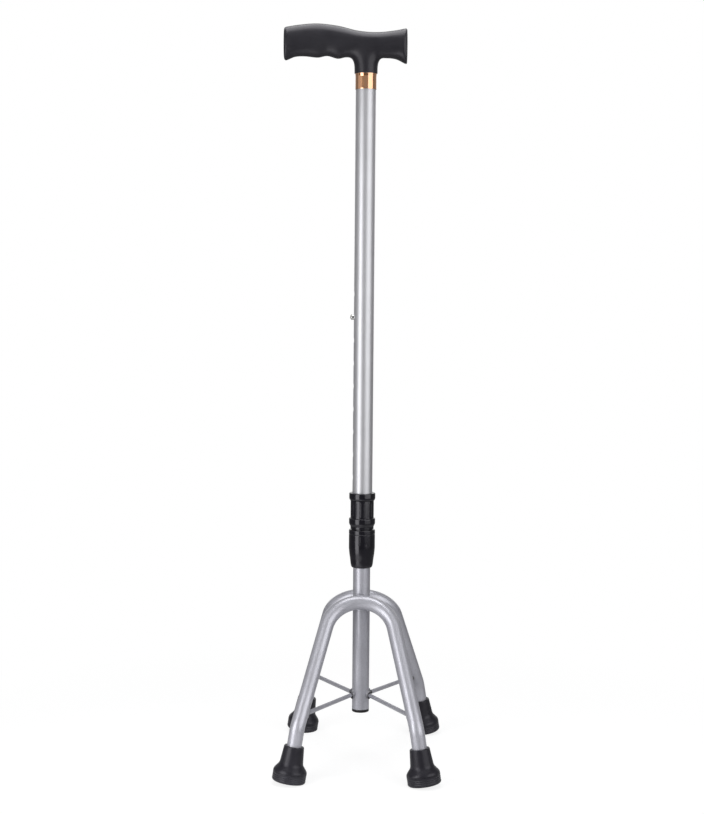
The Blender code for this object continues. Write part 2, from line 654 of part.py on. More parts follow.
def build_neck():
    # The plug inside the shaft, then the neck, whose flare is a quarter superellipse under the grip
    plug = SHAFT_BORE - GAP
    radius = SHAFT_RADIUS + NECK_WALL_STEP
    rings = [neck_ring(-HANDLE_PLUG_DEPTH, plug - 2 * GAP), neck_ring(2 * GAP - HANDLE_PLUG_DEPTH, plug),
             neck_ring(0, plug), neck_ring(0, radius)]
    for step in range(1, 8):
        share = math.sin(step / 8 * math.pi / 2)
        flare = 1 - (1 - share ** NECK_FLARE_POWER) ** (1 / NECK_FLARE_POWER)
        rings.append(neck_ring(NECK_FLARE_HEIGHT * share, radius, NECK_FLARE_NOSE * flare,
                               NECK_FLARE_HEEL * flare, NECK_FLARE_SIDE * share))
    rings.append(neck_ring(1.5 * NECK_FLARE_HEIGHT, radius, NECK_FLARE_NOSE, NECK_FLARE_HEEL,
                           NECK_FLARE_SIDE))
    return add_cutter("handle_neck", skinned_mesh("handle_neck", rings))


def build_handle():
    handle = build_grip()
    cut(handle, build_neck(), "UNION")


def build_collar():
    inner = SHAFT_RADIUS + GAP
    outer = inner + COLLAR_WALL
    foot = SHAFT_TOP - COLLAR_HEIGHT
    edge = COLLAR_WALL / 2
    profile = [(outer - edge, SHAFT_TOP), (outer, SHAFT_TOP - edge), (outer, foot + edge),
               (outer - edge, foot), (inner, foot), (inner, SHAFT_TOP)]
    turned("handle_collar", profile, BRASS)


clear_scene()
CANE = make_collection("quad_cane")
CUTTERS = make_collection("cutters")
FLOOR = box_cutter("floor", (2 * FOOT_SPAN_X, 2 * FOOT_SPAN_Y, FOOT_HEIGHT), (0, 0, -FOOT_HEIGHT / 2))

build_stem()
build_plug()
build_button()
build_spring()
build_shaft()
build_lock_sleeve()
build_lock_nut()
build_collet()
for arch_name, arch_side in (("front_leg_arch", -1), ("rear_leg_arch", 1)):
    build_arch(arch_name, arch_side)
for row_name, row_side in (("front", -1), ("rear", 1)):
    for side_name, side_sign in (("left", -1), ("right", 1)):
        build_brace(f"brace_{row_name}_{side_name}", side_sign, row_side)
        build_foot(f"{row_name}_{side_name}", side_sign, row_side)
build_handle()
build_collar()
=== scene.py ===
# Looks of a height-adjustable quad cane: what each piece is made of and how it shows in the photograph.
# Metres, +Z up, the cane stands on the floor at the origin, and its handle's nose points to -X.
import math

import bmesh
import bpy
import numpy as np
from mathutils import Matrix, Vector


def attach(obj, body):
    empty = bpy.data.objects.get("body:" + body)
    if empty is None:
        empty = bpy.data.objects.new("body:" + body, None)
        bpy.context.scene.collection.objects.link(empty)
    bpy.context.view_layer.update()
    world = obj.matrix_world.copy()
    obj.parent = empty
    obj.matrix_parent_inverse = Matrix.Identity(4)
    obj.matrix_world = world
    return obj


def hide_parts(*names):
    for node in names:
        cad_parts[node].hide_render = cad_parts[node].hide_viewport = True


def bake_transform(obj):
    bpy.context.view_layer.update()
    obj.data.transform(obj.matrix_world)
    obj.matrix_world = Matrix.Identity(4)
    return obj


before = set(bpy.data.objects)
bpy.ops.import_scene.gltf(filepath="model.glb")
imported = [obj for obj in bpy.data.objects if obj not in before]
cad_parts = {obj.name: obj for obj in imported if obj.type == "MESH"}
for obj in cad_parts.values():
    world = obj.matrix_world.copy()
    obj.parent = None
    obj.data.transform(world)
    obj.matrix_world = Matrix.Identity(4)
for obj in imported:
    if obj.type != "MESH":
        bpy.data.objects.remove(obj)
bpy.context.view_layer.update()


# Camera
# It stands in front of the cane, at about two thirds of its height. Its place, turn and lens were fitted to
# the tubes, legs and feet in the photograph.
PHOTO_WIDTH = 704
FOCAL_LENGTH_IN_PIXELS = 1685.3
SENSOR_WIDTH = 36.0
CAMERA_DISTANCE = 1.8603
CAMERA_HEIGHT = 0.5545
CAMERA_AZIMUTH = math.radians(-1.97)
CAMERA_PAN = math.radians(-0.378)
CAMERA_TILT = math.radians(4.909)
CAMERA_ROLL = math.radians(0.476)

yaw = CAMERA_AZIMUTH + CAMERA_PAN
ahead = Vector((math.sin(yaw) * math.cos(CAMERA_TILT), math.cos(yaw) * math.cos(CAMERA_TILT),
                -math.sin(CAMERA_TILT)))
across = Vector((math.cos(yaw), -math.sin(yaw), 0))
above = across.cross(ahead)
frame_right = across * math.cos(CAMERA_ROLL) + above * math.sin(CAMERA_ROLL)
frame_up = above * math.cos(CAMERA_ROLL) - across * math.sin(CAMERA_ROLL)
lens = bpy.data.cameras.new("photo_camera")
lens.sensor_fit = "HORIZONTAL"
lens.sensor_width = SENSOR_WIDTH
lens.lens = FOCAL_LENGTH_IN_PIXELS * SENSOR_WIDTH / PHOTO_WIDTH
camera = bpy.data.objects.new("photo_camera", lens)
camera_place = (-CAMERA_DISTANCE * math.sin(CAMERA_AZIMUTH), -CAMERA_DISTANCE * math.cos(CAMERA_AZIMUTH),
                CAMERA_HEIGHT)
camera.matrix_world = (Matrix.Translation(camera_place)
                       @ Matrix((frame_right, frame_up, -ahead)).transposed().to_4x4())
bpy.context.scene.collection.objects.link(camera)
bpy.context.scene.camera = camera
bpy.context.scene.view_settings.view_transform = "Standard"


# Studio
# White paper under and behind the cane, a low softbox to the camera's left, a higher one to its right and
# a large one overhead. A weak reflector on the left lifts the tubes' left flanks and browns the collar; the
# rest of the room is dim, which gives metal tubes their dark edges.
PAPER_WHITE = "#FAFAFB"
FLOOR_SIZE = 60.0
FLOOR_DROP = 0.0002
SHADOW_SHARE = 0.26
PAPER_GLOW = 0.83
SHADOW_FADE = (0.20, 0.60)
# Painted light on the paper, for all rays but the camera's: brighter near the cane and in a patch in front of
# the left softbox, dimmer further off, with a faint painted glow
PAINTED_LIT_PAPER = 0.58
PAINTED_DIM_PAPER = 0.22
PAINTED_LIT_PAPER_FADE = (0.12, 0.52)
FAINT_PAINTED_GLOW = 0.06
PAINTED_LIGHT_POOL_PLACE = (-0.20, -0.30, 0.0)
PAINTED_LIGHT_POOL = 1.0
PAINTED_LIGHT_POOL_FADE = (0.16, 0.38)
ROOM_LIGHT = 0.20
ROOM_LIGHT_ALONG_VIEW = 0.10
BACKDROP_HALF_ANGLE = math.radians(22.0)
BACKDROP_EDGE = math.radians(12.0)
REFLECTOR_AZIMUTH = math.radians(66.0)
REFLECTOR_HALF_ANGLE = math.radians(18.0)
REFLECTOR_EDGE = math.radians(14.0)
REFLECTOR_LIGHT = 0.32


def linear(hex_colour):
    """Linear RGBA of an sRGB hex value: c / 12.92 up to 0.04045, and ((c + 0.055) / 1.055) ** 2.4 above."""
    channels = [int(hex_colour[i:i + 2], 16) / 255 for i in (1, 3, 5)]
    return (*[c / 12.92 if c <= 0.04045 else ((c + 0.055) / 1.055) ** 2.4 for c in channels], 1.0)


def add(tree, kind, *values, out=None, **settings):
    """Adds a node: settings go on the node, values on its live sockets from the top down. A socket is
    linked, a hex colour turned to linear, and None keeps the default. Returns the output named out, or else
    the first live one."""
    node = tree.nodes.new("ShaderNode" + kind)
    for name, setting in settings.items():
        setattr(node, name, setting)
    for socket, value in zip([socket for socket in node.inputs if socket.enabled], values):
        if isinstance(value, bpy.types.NodeSocket):
            tree.links.new(value, socket)
        elif value is not None:
            socket.default_value = linear(value) if isinstance(value, str) else value
    return node.outputs[out] if out else next((socket for socket in node.outputs if socket.enabled), None)


def paper_floor():
    """White paper. The camera sees it as white with its shadow lightened, the shadow fading out away from the
    feet. For all other rays its brightness is painted light: painted brighter near the cane, brightest in a
    painted patch of light in front of the left softbox, painted dim further off, and with a faint painted
    glow."""
    material = bpy.data.materials.new("white_paper")
    material.use_nodes = True
    tree = material.node_tree
    tree.nodes.clear()
    seen = add(tree, "LightPath", out="Is Camera Ray")
    place = add(tree, "TexCoord", out="Object")
    distance = add(tree, "VectorMath", place, operation="LENGTH")
    shadow = add(tree, "MapRange", distance, *SHADOW_FADE, SHADOW_SHARE, 0, interpolation_type="SMOOTHSTEP")
    glow = add(tree, "MapRange", distance, *SHADOW_FADE, PAPER_GLOW, 1, interpolation_type="SMOOTHSTEP")
    painted_light = add(tree, "MapRange", distance, *PAINTED_LIT_PAPER_FADE, PAINTED_LIT_PAPER, PAINTED_DIM_PAPER,
              interpolation_type="SMOOTHSTEP")
    from_painted_pool = add(tree, "VectorMath", place, PAINTED_LIGHT_POOL_PLACE, operation="DISTANCE")
    painted_pool = add(tree, "MapRange", from_painted_pool, *PAINTED_LIGHT_POOL_FADE, PAINTED_LIGHT_POOL, 0, interpolation_type="SMOOTHSTEP")
    painted_light = add(tree, "Math", painted_light, painted_pool, operation="MAXIMUM")
    share = add(tree, "Mix", seen, painted_light, shadow)
    colour = add(tree, "Mix", share, "#000000", PAPER_WHITE, data_type="RGBA")
    strength = add(tree, "Mix", seen, FAINT_PAINTED_GLOW, glow)
    diffuse = add(tree, "BsdfDiffuse", colour)
    add(tree, "OutputMaterial", add(tree, "AddShader", diffuse, add(tree, "Emission", "#FFFFFF", strength)))
    return material


half = FLOOR_SIZE / 2
floor_mesh = bpy.data.meshes.new("paper_floor")
floor_mesh.from_pydata([(-half, -half, -FLOOR_DROP), (half, -half, -FLOOR_DROP), (half, half, -FLOOR_DROP),
                        (-half, half, -FLOOR_DROP)], [], [(0, 1, 2, 3)])
floor_mesh.materials.append(paper_floor())
floor = bpy.data.objects.new("paper_floor", floor_mesh)
bpy.context.scene.collection.objects.link(floor)

room = bpy.data.worlds.new("studio")
bpy.context.scene.world = room
room.use_nodes = True
room_tree = room.node_tree
room_tree.nodes.clear()
towards = add(room_tree, "TexCoord", out="Generated")


def round_panel(direction, half_angle, edge, strength):
    """A round patch of the room: strength within half_angle of the direction, fading to 0 over edge. Returns
    the cosine of the angle too."""
    cosine = add(room_tree, "VectorMath", towards, direction, operation="DOT_PRODUCT")
    patch = add(room_tree, "MapRange", cosine, math.cos(half_angle + edge), math.cos(half_angle), 0, strength,
                interpolation_type="SMOOTHSTEP")
    return patch, cosine


backdrop, depth = round_panel((0, 1, 0), BACKDROP_HALF_ANGLE, BACKDROP_EDGE, 1)
reflector_way = (-math.sin(REFLECTOR_AZIMUTH), -math.cos(REFLECTOR_AZIMUTH), 0)
reflector = round_panel(reflector_way, REFLECTOR_HALF_ANGLE, REFLECTOR_EDGE, REFLECTOR_LIGHT)[0]
seen, glossy, through = [add(room_tree, "LightPath", out=ray)
                         for ray in ("Is Camera Ray", "Is Glossy Ray", "Is Transmission Ray")]
mirrored = add(room_tree, "Math", glossy, through, operation="MAXIMUM")
mirrored_paper = add(room_tree, "Math", backdrop, mirrored, operation="MULTIPLY")
paper = add(room_tree, "Math", seen, mirrored_paper, operation="MAXIMUM")
depth_squared = add(room_tree, "Math", depth, depth, operation="MULTIPLY")
dim = add(room_tree, "Math", depth_squared, ROOM_LIGHT_ALONG_VIEW, ROOM_LIGHT, operation="MULTIPLY_ADD")
dim = add(room_tree, "Math", dim, reflector, operation="ADD")
level = add(room_tree, "Mix", paper, dim, 1)
add(room_tree, "OutputWorld", add(room_tree, "Background", "#FFFFFF", level))


def beside_camera(degrees, distance, height):
    """The point at that azimuth from the camera's side of the cane, positive to its right."""
    return (distance * math.sin(math.radians(degrees)), -distance * math.cos(math.radians(degrees)), height)


# Each softbox faces its target, and its power is pi * area * radiance
for name, place, target, width, height, radiance in (
        ("left_softbox", beside_camera(-42, 0.62, 0.385), (0, 0, 0.385), 0.36, 0.77, 2.75),
        ("right_softbox", beside_camera(53, 1.10, 0.735), (0, 0, 0.735), 1.12, 1.27, 1.60),
        ("top_softbox", (0, 0.010, 1.22), (0, 0.010, 0.8), 0.62, 0.64, 3.9)):
    lamp = bpy.data.lights.new(name, "AREA")
    lamp.shape = "RECTANGLE"
    lamp.size, lamp.size_y = width, height
    lamp.energy = math.pi * width * height * radiance
    box = bpy.data.objects.new(name, lamp)
    box.location = place
    box.rotation_euler = (Vector(place) - Vector(target)).to_track_quat("Z", "Y").to_euler()
    box.visible_camera = False
    bpy.context.scene.collection.objects.link(box)


# Lower stem
# A drawn steel tube with a silver powder coat that the base is welded to. Its one hole, for the snap
# button, is near its upper end, inside the shaft.
STEM_RADIUS = 0.0095
STEM_WALL = 0.0012
STEM_FOOT = 0.055
STEM_TOP = 0.517
BUTTON_HEIGHT = 0.4943
HOLE_RADIUS = 0.0034
HOLE_PITCH = 0.0254
HOLE_STRIP = 20
HOLE_ROWS = 16
HOLE_RINGS = 13
HOLE_RING_CROWDING = 1.7
HOLE_EVENNESS = 0.65
TUBE_COLUMNS = 120
TUBE_EDGE = 0.00025
SHARP_ANGLE = math.radians(50)
MERGE_DISTANCE = 0.000002
WEAR_STARTS = 350.0
WEAR_FULL = 1250.0


def quads(rows, columns, wrap):
    """Faces of a grid of points counted row by row; wrap joins the last column to the first."""
    i, j = np.meshgrid(np.arange(rows - 1), np.arange(columns - (not wrap)), indexing="ij")
    k = (j + 1) % columns
    corners = [i * columns + j, i * columns + k, (i + 1) * columns + k, (i + 1) * columns + j]
    return np.stack(corners, -1).reshape(-1, 4)


def edge_wear(points, wrap):
    """Share of wear at each point of a grid, 0 where it is flat or gently round and 1 at edges of 0.8 mm
    radius and less: the larger convex curvature along rows and columns, (dn . dp) / |dp| ** 2, per metre."""
    if wrap:
        points = np.concatenate([points[:, -1:], points, points[:, :1]], 1)
    along_row, along_column = np.gradient(points, axis=1), np.gradient(points, axis=0)
    normal = np.cross(along_row, along_column)
    normal /= np.linalg.norm(normal, axis=-1, keepdims=True) + 1e-12
    bends = [(np.gradient(normal, axis=a) * step).sum(-1) / ((step ** 2).sum(-1) + 1e-12)
             for a, step in ((1, along_row), (0, along_column))]
    wear = np.clip((np.maximum(*bends) - WEAR_STARTS) / (WEAR_FULL - WEAR_STARTS), 0.0, 1.0)
    return wear[:, 1:-1] if wrap else wear


def shell(name, rings, sheets=(), closed=True):
    """One mesh from grids of points, with equal points merged and a wear value per point. The last column of
    a ring joins its first, that of a sheet doesn't."""
    count, points, faces, worn = 0, [], [], []
    for grid, wrap in [(ring, True) for ring in rings] + [(sheet, False) for sheet in sheets]:
        rows, columns = grid.shape[:2]
        points.append(grid.reshape(-1, 3))
        faces.append(quads(rows, columns, wrap) + count)
        worn.append(edge_wear(grid, wrap).ravel())
        count += rows * columns
    mesh = bpy.data.meshes.new(name)
    mesh.from_pydata(np.concatenate(points).tolist(), [], np.concatenate(faces).tolist())
    wear = mesh.attributes.new("wear", "FLOAT", "POINT")
    wear.data.foreach_set("value", np.concatenate(worn).astype(np.float32))
    bm = bmesh.new()
    bm.from_mesh(mesh)
    bmesh.ops.remove_doubles(bm, verts=bm.verts, dist=MERGE_DISTANCE)
    if closed:
        bmesh.ops.recalc_face_normals(bm, faces=bm.faces)
    bm.to_mesh(mesh)
    bm.free()
    mesh.shade_smooth()
    mesh.set_sharp_from_angle(angle=SHARP_ANGLE)
    return mesh


def place_piece(mesh, material, body, slot, *nodes):
    """Puts a finished piece into the scene: it has one finish, rides on body and stands for the CAD nodes."""
    mesh.materials.append(material)
    piece = bpy.data.objects.new(mesh.name, mesh)
    bpy.context.scene.collection.objects.link(piece)
    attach(piece, body)
    if nodes:
        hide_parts(*nodes)
    return piece


def rolled(radius, arc, height):
    """Point of a tube at that distance round it and that height: (r cos(s / r), r sin(s / r), z)."""
    arc, height = np.broadcast_arrays(arc, height)
    return np.stack([radius * np.cos(arc / radius), radius * np.sin(arc / radius), height], -1)


def holed_tube(name, radius, foot, top, holes):
    """A tube with round holes on its -X side. Round each hole the grid runs from the hole's circle out to a
    rectangle one pitch high, P = (1 - t) circle + t rectangle, and plain grids fill the rest."""
    step = 2 * math.pi * radius / TUBE_COLUMNS
    strip = HOLE_STRIP // 2 * step
    middle = math.pi * radius
    row = HOLE_PITCH / HOLE_ROWS
    side = np.linspace(-1, 1, HOLE_STRIP + 1)[:-1]
    rise = np.linspace(-1, 1, HOLE_ROWS + 1)[:-1]
    edge_s = np.concatenate([side, np.ones(HOLE_ROWS), -side, -np.ones(HOLE_ROWS)]) * strip
    edge_z = np.concatenate([-np.ones(HOLE_STRIP), rise, np.ones(HOLE_STRIP), -rise]) * HOLE_PITCH / 2
    turn = np.unwrap(np.arctan2(edge_z, edge_s))
    even = turn[0] + 2 * math.pi * np.arange(len(turn)) / len(turn)
    turn = (1 - HOLE_EVENNESS) * turn + HOLE_EVENNESS * even
    t = (np.linspace(0, 1, HOLE_RINGS) ** HOLE_RING_CROWDING)[:, None]
    across = middle + (1 - t) * HOLE_RADIUS * np.cos(turn) + t * edge_s
    up = (1 - t) * HOLE_RADIUS * np.sin(turn)
    rings = [rolled(radius, across, height + up + t * edge_z)[::-1] for height in holes]
    low, high = min(holes) - HOLE_PITCH / 2, max(holes) + HOLE_PITCH / 2
    rows_low = np.linspace(foot, low, max(2, round((low - foot) / row)))
    rows_high = np.linspace(high, top, max(2, round((top - high) / row)))
    rows_holes = np.linspace(low, high, HOLE_ROWS * len(holes) + 1)
    strip_s = middle + np.linspace(-strip, strip, HOLE_STRIP + 1)
    rest_s = middle + strip + step * np.arange(TUBE_COLUMNS - HOLE_STRIP + 1)
    fields = ((rows_low, strip_s), (rows_high, strip_s), (rows_low, rest_s), (rows_holes, rest_s),
              (rows_high, rest_s))
    sheets = [rolled(radius, arcs, rows[:, None]) for rows, arcs in fields]
    return shell(name, rings, sheets, closed=False)


def wall_and_edges(piece, wall, edge):
    """Gives an open shell its wall, inwards, and rounds its cut edges."""
    solid = piece.modifiers.new("wall", "SOLIDIFY")
    solid.thickness = wall
    solid.offset = -1
    bevel = piece.modifiers.new("cut edges", "BEVEL")
    bevel.width = edge
    bevel.segments = 2
    bevel.limit_method = "ANGLE"
    bevel.angle_limit = SHARP_ANGLE
    bevel.harden_normals = True


def new_finish(name, sockets):
    """A material with one Principled shader whose own sockets are set. Returns it with its tree and the place
    on the piece, in metres."""
    material = bpy.data.materials.new(name)
    material.use_nodes = True
    for socket, value in sockets.items():
        material.node_tree.nodes["Principled BSDF"].inputs[socket].default_value = value
    return material, material.node_tree, add(material.node_tree, "TexCoord", out="Object")


def finished(material, colours, rough, height, strength, depth):
    """Gives a material its colours, its roughness, and a bump of that height pattern, strength and depth in
    metres, and returns it. Over the first colour lie the others, each as strong as its share."""
    tree, colour = material.node_tree, colours[0]
    for share, layer in colours[1:]:
        colour = add(tree, "Mix", share, colour, layer, data_type="RGBA")
    bump = add(tree, "Bump", strength, depth, None, height)
    for socket, value in (("Base Color", colour), ("Roughness", rough), ("Normal", bump)):
        tree.links.new(value, tree.nodes["Principled BSDF"].inputs[socket])
    return material


def silver_powder_coat():
    """Aluminium flakes in a clear powder coat, baked on steel. The eye gets a soft grey sheen, not a mirror,
    a faint orange peel of 3 mm waves, a glitter of flakes, and slightly darker, scuffed patches."""
    material, tree, place = new_finish(
        "silver_powder_coat", {"Metallic": 0.55, "Coat Weight": 0.6, "Coat Roughness": 0.12})
    # Real flakes are 0.05 mm; these are 0.6 mm, as fine as the picture can show
    glitter = add(tree, "SeparateColor", add(tree, "TexVoronoi", place, 1000 / 0.6, out="Color"))
    patches = add(tree, "TexNoise", place, 1000 / 35, 5)
    stain = add(tree, "MapRange", patches, 0.45, 0.75, 0, 0.55)
    worn = add(tree, "Attribute", out="Fac", attribute_name="wear")
    rubbed = add(tree, "Math", worn, 0.5, operation="MULTIPLY")
    colours = ("#B9B9C1", (glitter, "#C9C9D2"), (stain, "#A8A8AF"), (rubbed, "#CFCFD4"))
    rough = add(tree, "MapRange", patches, 0.3, 0.8, 0.36, 0.46)
    peel = add(tree, "TexNoise", place, 1000 / 3, 2)
    return finished(material, colours, rough, peel, 0.05, 0.00008)


SILVER = silver_powder_coat()
stem_mesh = holed_tube("stem_tube", STEM_RADIUS, STEM_FOOT, STEM_TOP, [BUTTON_HEIGHT])
stem = place_piece(stem_mesh, SILVER, "base", "silver_paint", "lower_stem")
wall_and_edges(stem, STEM_WALL, 2 * TUBE_EDGE)


# Stem plug
# A black moulded cap pushed into the stem's lower end, with a thin rim that covers the tube's cut edge.
PLUG_RIM_TOP = 0.0547
PLUG_RIM_FOOT = 0.0517
PLUG_SHANK = 0.0080
PLUG_TOP = 0.0677
CORNER_STEPS = 7
CORNER_GUARD = 1.25
TURN_COLUMNS = 96


def rounded(corners):
    """Profile through corners of (radius, height, setback). Each corner becomes the curve (1 - u) ** 2 S
    + 2 u (1 - u) P + u ** 2 E between the points S and E one setback before and after it, with one more point
    at each side to keep the straight stretches flat."""
    corners = np.array(corners, float)
    points, setback = corners[:, :2], corners[:, 2:3]
    before = np.vstack([points[:1], points[:-1]]) - points
    after = np.vstack([points[1:], points[-1:]]) - points
    before /= np.linalg.norm(before, axis=1, keepdims=True) + 1e-12
    after /= np.linalg.norm(after, axis=1, keepdims=True) + 1e-12
    start, end = points + before * setback, points + after * setback
    u = np.linspace(0, 1, CORNER_STEPS)[None, :, None]
    curve = (1 - u) ** 2 * start[:, None] + 2 * u * (1 - u) * points[:, None] + u ** 2 * end[:, None]
    guard_before = (points + before * setback * CORNER_GUARD)[:, None]
    guard_after = (points + after * setback * CORNER_GUARD)[:, None]
    return np.concatenate([guard_before, curve, guard_after], 1).reshape(-1, 2)


def turned(profile, columns=TURN_COLUMNS, origin=(0, 0, 0), axis=(0, 0, 1), inset=0.0):
    """Grid of a profile carried round an axis: origin + h axis + (r - inset) (cos a e1 + sin a e2). inset may
    be an array of rows x columns that presses flutes into the surface."""
    axis = np.array(axis, float)
    reference = np.array([0, 0, 1.0]) if abs(axis[0]) > 0.9 else np.array([1.0, 0, 0])
    e1 = reference - axis * (reference @ axis)
    e1 /= np.linalg.norm(e1)
    e2 = np.cross(axis, e1)
    a = 2 * np.pi * np.arange(columns) / columns
    ring = np.cos(a)[:, None] * e1 + np.sin(a)[:, None] * e2
    radius = np.repeat(profile[:, :1], columns, 1) - inset
    return np.array(origin) + profile[:, None, 1:2] * axis + radius[..., None] * ring


def moulded_black(name, colour, worn_colour, roughness, rough_spread, grain_mm, grain_depth, sockets):
    """Black moulded plastic: a base colour with cloudy lighter patches, edges rubbed paler, a sheen that
    varies, and the mould's grain as a bump."""
    material, tree, place = new_finish(name, sockets)
    clouds = add(tree, "TexNoise", place, 1000 / 18, 6)
    worn = add(tree, "Attribute", out="Fac", attribute_name="wear")
    broken = add(tree, "Math", worn, clouds, operation="MULTIPLY")
    rubbed = add(tree, "MapRange", broken, 0.15, 0.7, 0, 0.7)
    soft = add(tree, "MapRange", clouds, 0.35, 0.9, 0, 0.35)
    colours = (colour, (soft, worn_colour), (rubbed, worn_colour))
    rough = add(tree, "MapRange", clouds, 0.3, 0.75, roughness - rough_spread, roughness + rough_spread)
    grain = add(tree, "TexNoise", place, 1000 / grain_mm, 2)
    return finished(material, colours, rough, grain, 0.5, grain_depth)


plug_profile = rounded([(0, PLUG_TOP, 0), (PLUG_SHANK, PLUG_TOP, 0.0008), (PLUG_SHANK, PLUG_RIM_TOP, 0.0001),
                        (STEM_RADIUS, PLUG_RIM_TOP, 0.0002), (STEM_RADIUS, PLUG_RIM_FOOT, 0.0009),
                        (0, PLUG_RIM_FOOT, 0)])
# Low-density polyethylene, moulded: a dull black with a soft, slightly greasy sheen
CAP_PLASTIC = moulded_black("black_polyethylene_cap", "#151419", "#2C2C31", 0.45, 0.08, 1.2, 0.00006, {})
place_piece(shell("stem_plug_cap", [turned(plug_profile)]), CAP_PLASTIC, "base", "plug_plastic", "stem_plug")


# Leg arches
# Two 16 mm steel tubes, each bent to a leaning U with a knee above each foot, welded to the stem at their
# crowns, one in front and one behind, and powder coated with it.
LEG_RADIUS = 0.008
LEG_WALL = 0.0012
CROWN_HEIGHT = 0.179
CROWN_OFFSET = 0.0178
CROWN_BEND = 0.0385
ARCH_LEAN = math.radians(34.5)
LEG_SPREAD = math.radians(12.8)
KNEE_HEIGHT = 0.0595
KNEE_BEND = 0.024
FOOT_X = 0.073
FOOT_Y = 0.104
FOOT_BASE_RADIUS = 0.0181
FOOT_SOLE_EDGE = 0.0022
FOOT_FLAT = 0.0011
LEG_END = 0.0116
LEG_COLUMNS = 56
CROWN_ROWS, THIGH_ROWS, KNEE_ROWS, SHIN_ROWS = 40, 12, 14, 6


def unit(vector):
    return vector / np.linalg.norm(vector, axis=-1, keepdims=True)


def leg_points(side_x, side_y):
    """Lean of the arch, crown, end of the crown's bend, knee, sole centre and foot direction of one leg."""
    lean = np.array([0, side_y * math.sin(ARCH_LEAN), -math.cos(ARCH_LEAN)])
    crown = np.array([0, side_y * CROWN_OFFSET, CROWN_HEIGHT])
    sweep = math.pi / 2 - LEG_SPREAD
    bend_across, bend_down = CROWN_BEND * math.sin(sweep), CROWN_BEND * (1 - math.cos(sweep))
    knee_down = (CROWN_HEIGHT - KNEE_HEIGHT) / math.cos(ARCH_LEAN)
    knee_across = bend_across + (knee_down - bend_down) * math.tan(LEG_SPREAD)
    bend_end = crown + [side_x * bend_across, 0, 0] + lean * bend_down
    knee = crown + [side_x * knee_across, 0, 0] + lean * knee_down
    ground = np.array([side_x * FOOT_X, side_y * FOOT_Y, 0])
    up = unit(knee - ground)
    tilt = math.acos(up[2])
    rise = ((FOOT_BASE_RADIUS - FOOT_SOLE_EDGE) * math.sin(tilt) - FOOT_FLAT) / math.cos(tilt)
    return lean, crown, bend_end, knee, ground + up * rise, up


def half_arch(side_x, side_y):
    """Centre line from the crown to the foot: an arc round crown + R lean, a straight thigh, a knee of radius
    R from one setback before it to one after, and a straight shin."""
    lean, crown, bend_end, knee, sole, up = leg_points(side_x, side_y)
    turn = np.linspace(0, math.pi / 2 - LEG_SPREAD, CROWN_ROWS)[:, None]
    bend = (crown + lean * CROWN_BEND * (1 - np.cos(turn))
            + np.array([side_x, 0, 0]) * CROWN_BEND * np.sin(turn))
    thigh = unit(knee - bend_end)
    angle = math.acos(np.clip(thigh @ -up, -1, 1))
    start = knee - thigh * KNEE_BEND * math.tan(angle / 2)
    inward = unit(-up - thigh * (thigh @ -up))
    turn = np.linspace(0, angle, KNEE_ROWS)[:, None]
    knee_arc = start + thigh * KNEE_BEND * np.sin(turn) + inward * KNEE_BEND * (1 - np.cos(turn))
    thigh_line = bend_end + (start - bend_end) * np.linspace(0, 1, THIGH_ROWS)[1:-1, None]
    shin = knee_arc[-1] + (sole + up * LEG_END - knee_arc[-1]) * np.linspace(0, 1, SHIN_ROWS)[1:, None]
    return np.vstack([bend, thigh_line, knee_arc, shin])


def swept(path, radius, reference):
    """Tube surface along a path: P = path + r (cos a b + sin a c), where b is the reference direction made
    square to the path and c is square to both."""
    tangent = unit(np.gradient(path, axis=0))
    b = unit(reference - tangent * (tangent @ reference)[:, None])
    c = np.cross(tangent, b)
    a = 2 * np.pi * np.arange(LEG_COLUMNS) / LEG_COLUMNS
    ring = b[:, None] * np.cos(a)[:, None] + c[:, None] * np.sin(a)[:, None]
    return path[:, None] + radius * ring


for end, side_y in (("front", -1), ("rear", 1)):
    path = np.vstack([half_arch(-1, side_y)[::-1], half_arch(1, side_y)[1:]])
    square_to_arch = np.cross(leg_points(1, side_y)[0], [1.0, 0, 0])
    arch_mesh = shell(end + "_arch_tube", [swept(path, LEG_RADIUS, square_to_arch)], closed=False)
    arch = place_piece(arch_mesh, SILVER, "base", "silver_paint", end + "_leg_arch")
    wall_and_edges(arch, LEG_WALL, TUBE_EDGE)


# Braces
# Four straight 4.6 mm steel rods that tie the legs to the lower end of the stem, welded at both ends and
# powder coated with the rest.
CORNERS = (("front_left", -1, -1), ("front_right", 1, -1), ("rear_left", -1, 1), ("rear_right", 1, 1))
BRACE_RADIUS = 0.0023
BRACE_STEM_HEIGHT = 0.0715
BRACE_LEG_HEIGHT = 0.0700
BRACE_STEM_ANGLE = math.radians(25)
BRACE_SUNK = 0.0008
BRACE_COLUMNS = 28


def brace_ends(side_x, side_y):
    """Points on the surfaces of the stem and of the leg where the rod meets them, and the rod's direction."""
    bend_end, knee = leg_points(side_x, side_y)[2:4]
    on_leg_axis = bend_end + (knee - bend_end) * (bend_end[2] - BRACE_LEG_HEIGHT) / (bend_end[2] - knee[2])
    on_stem = np.array([side_x * STEM_RADIUS * math.cos(BRACE_STEM_ANGLE),
                        side_y * STEM_RADIUS * math.sin(BRACE_STEM_ANGLE), BRACE_STEM_HEIGHT])
    rod = unit(on_leg_axis - on_stem)
    thigh = unit(knee - bend_end)
    return on_stem, on_leg_axis - rod * LEG_RADIUS / math.sqrt(1 - (rod @ thigh) ** 2), rod


for corner, side_x, side_y in CORNERS:
    on_stem, on_leg, rod = brace_ends(side_x, side_y)
    length = np.linalg.norm(on_leg - on_stem)
    rod_profile = rounded([(0, -BRACE_SUNK, 0), (BRACE_RADIUS, -BRACE_SUNK, 0.0002),
                           (BRACE_RADIUS, length + BRACE_SUNK, 0.0002), (0, length + BRACE_SUNK, 0)])
    rod_mesh = shell("brace_rod_" + corner, [turned(rod_profile, BRACE_COLUMNS, on_stem, rod)])
    place_piece(rod_mesh, SILVER, "base", "silver_paint", "brace_" + corner)


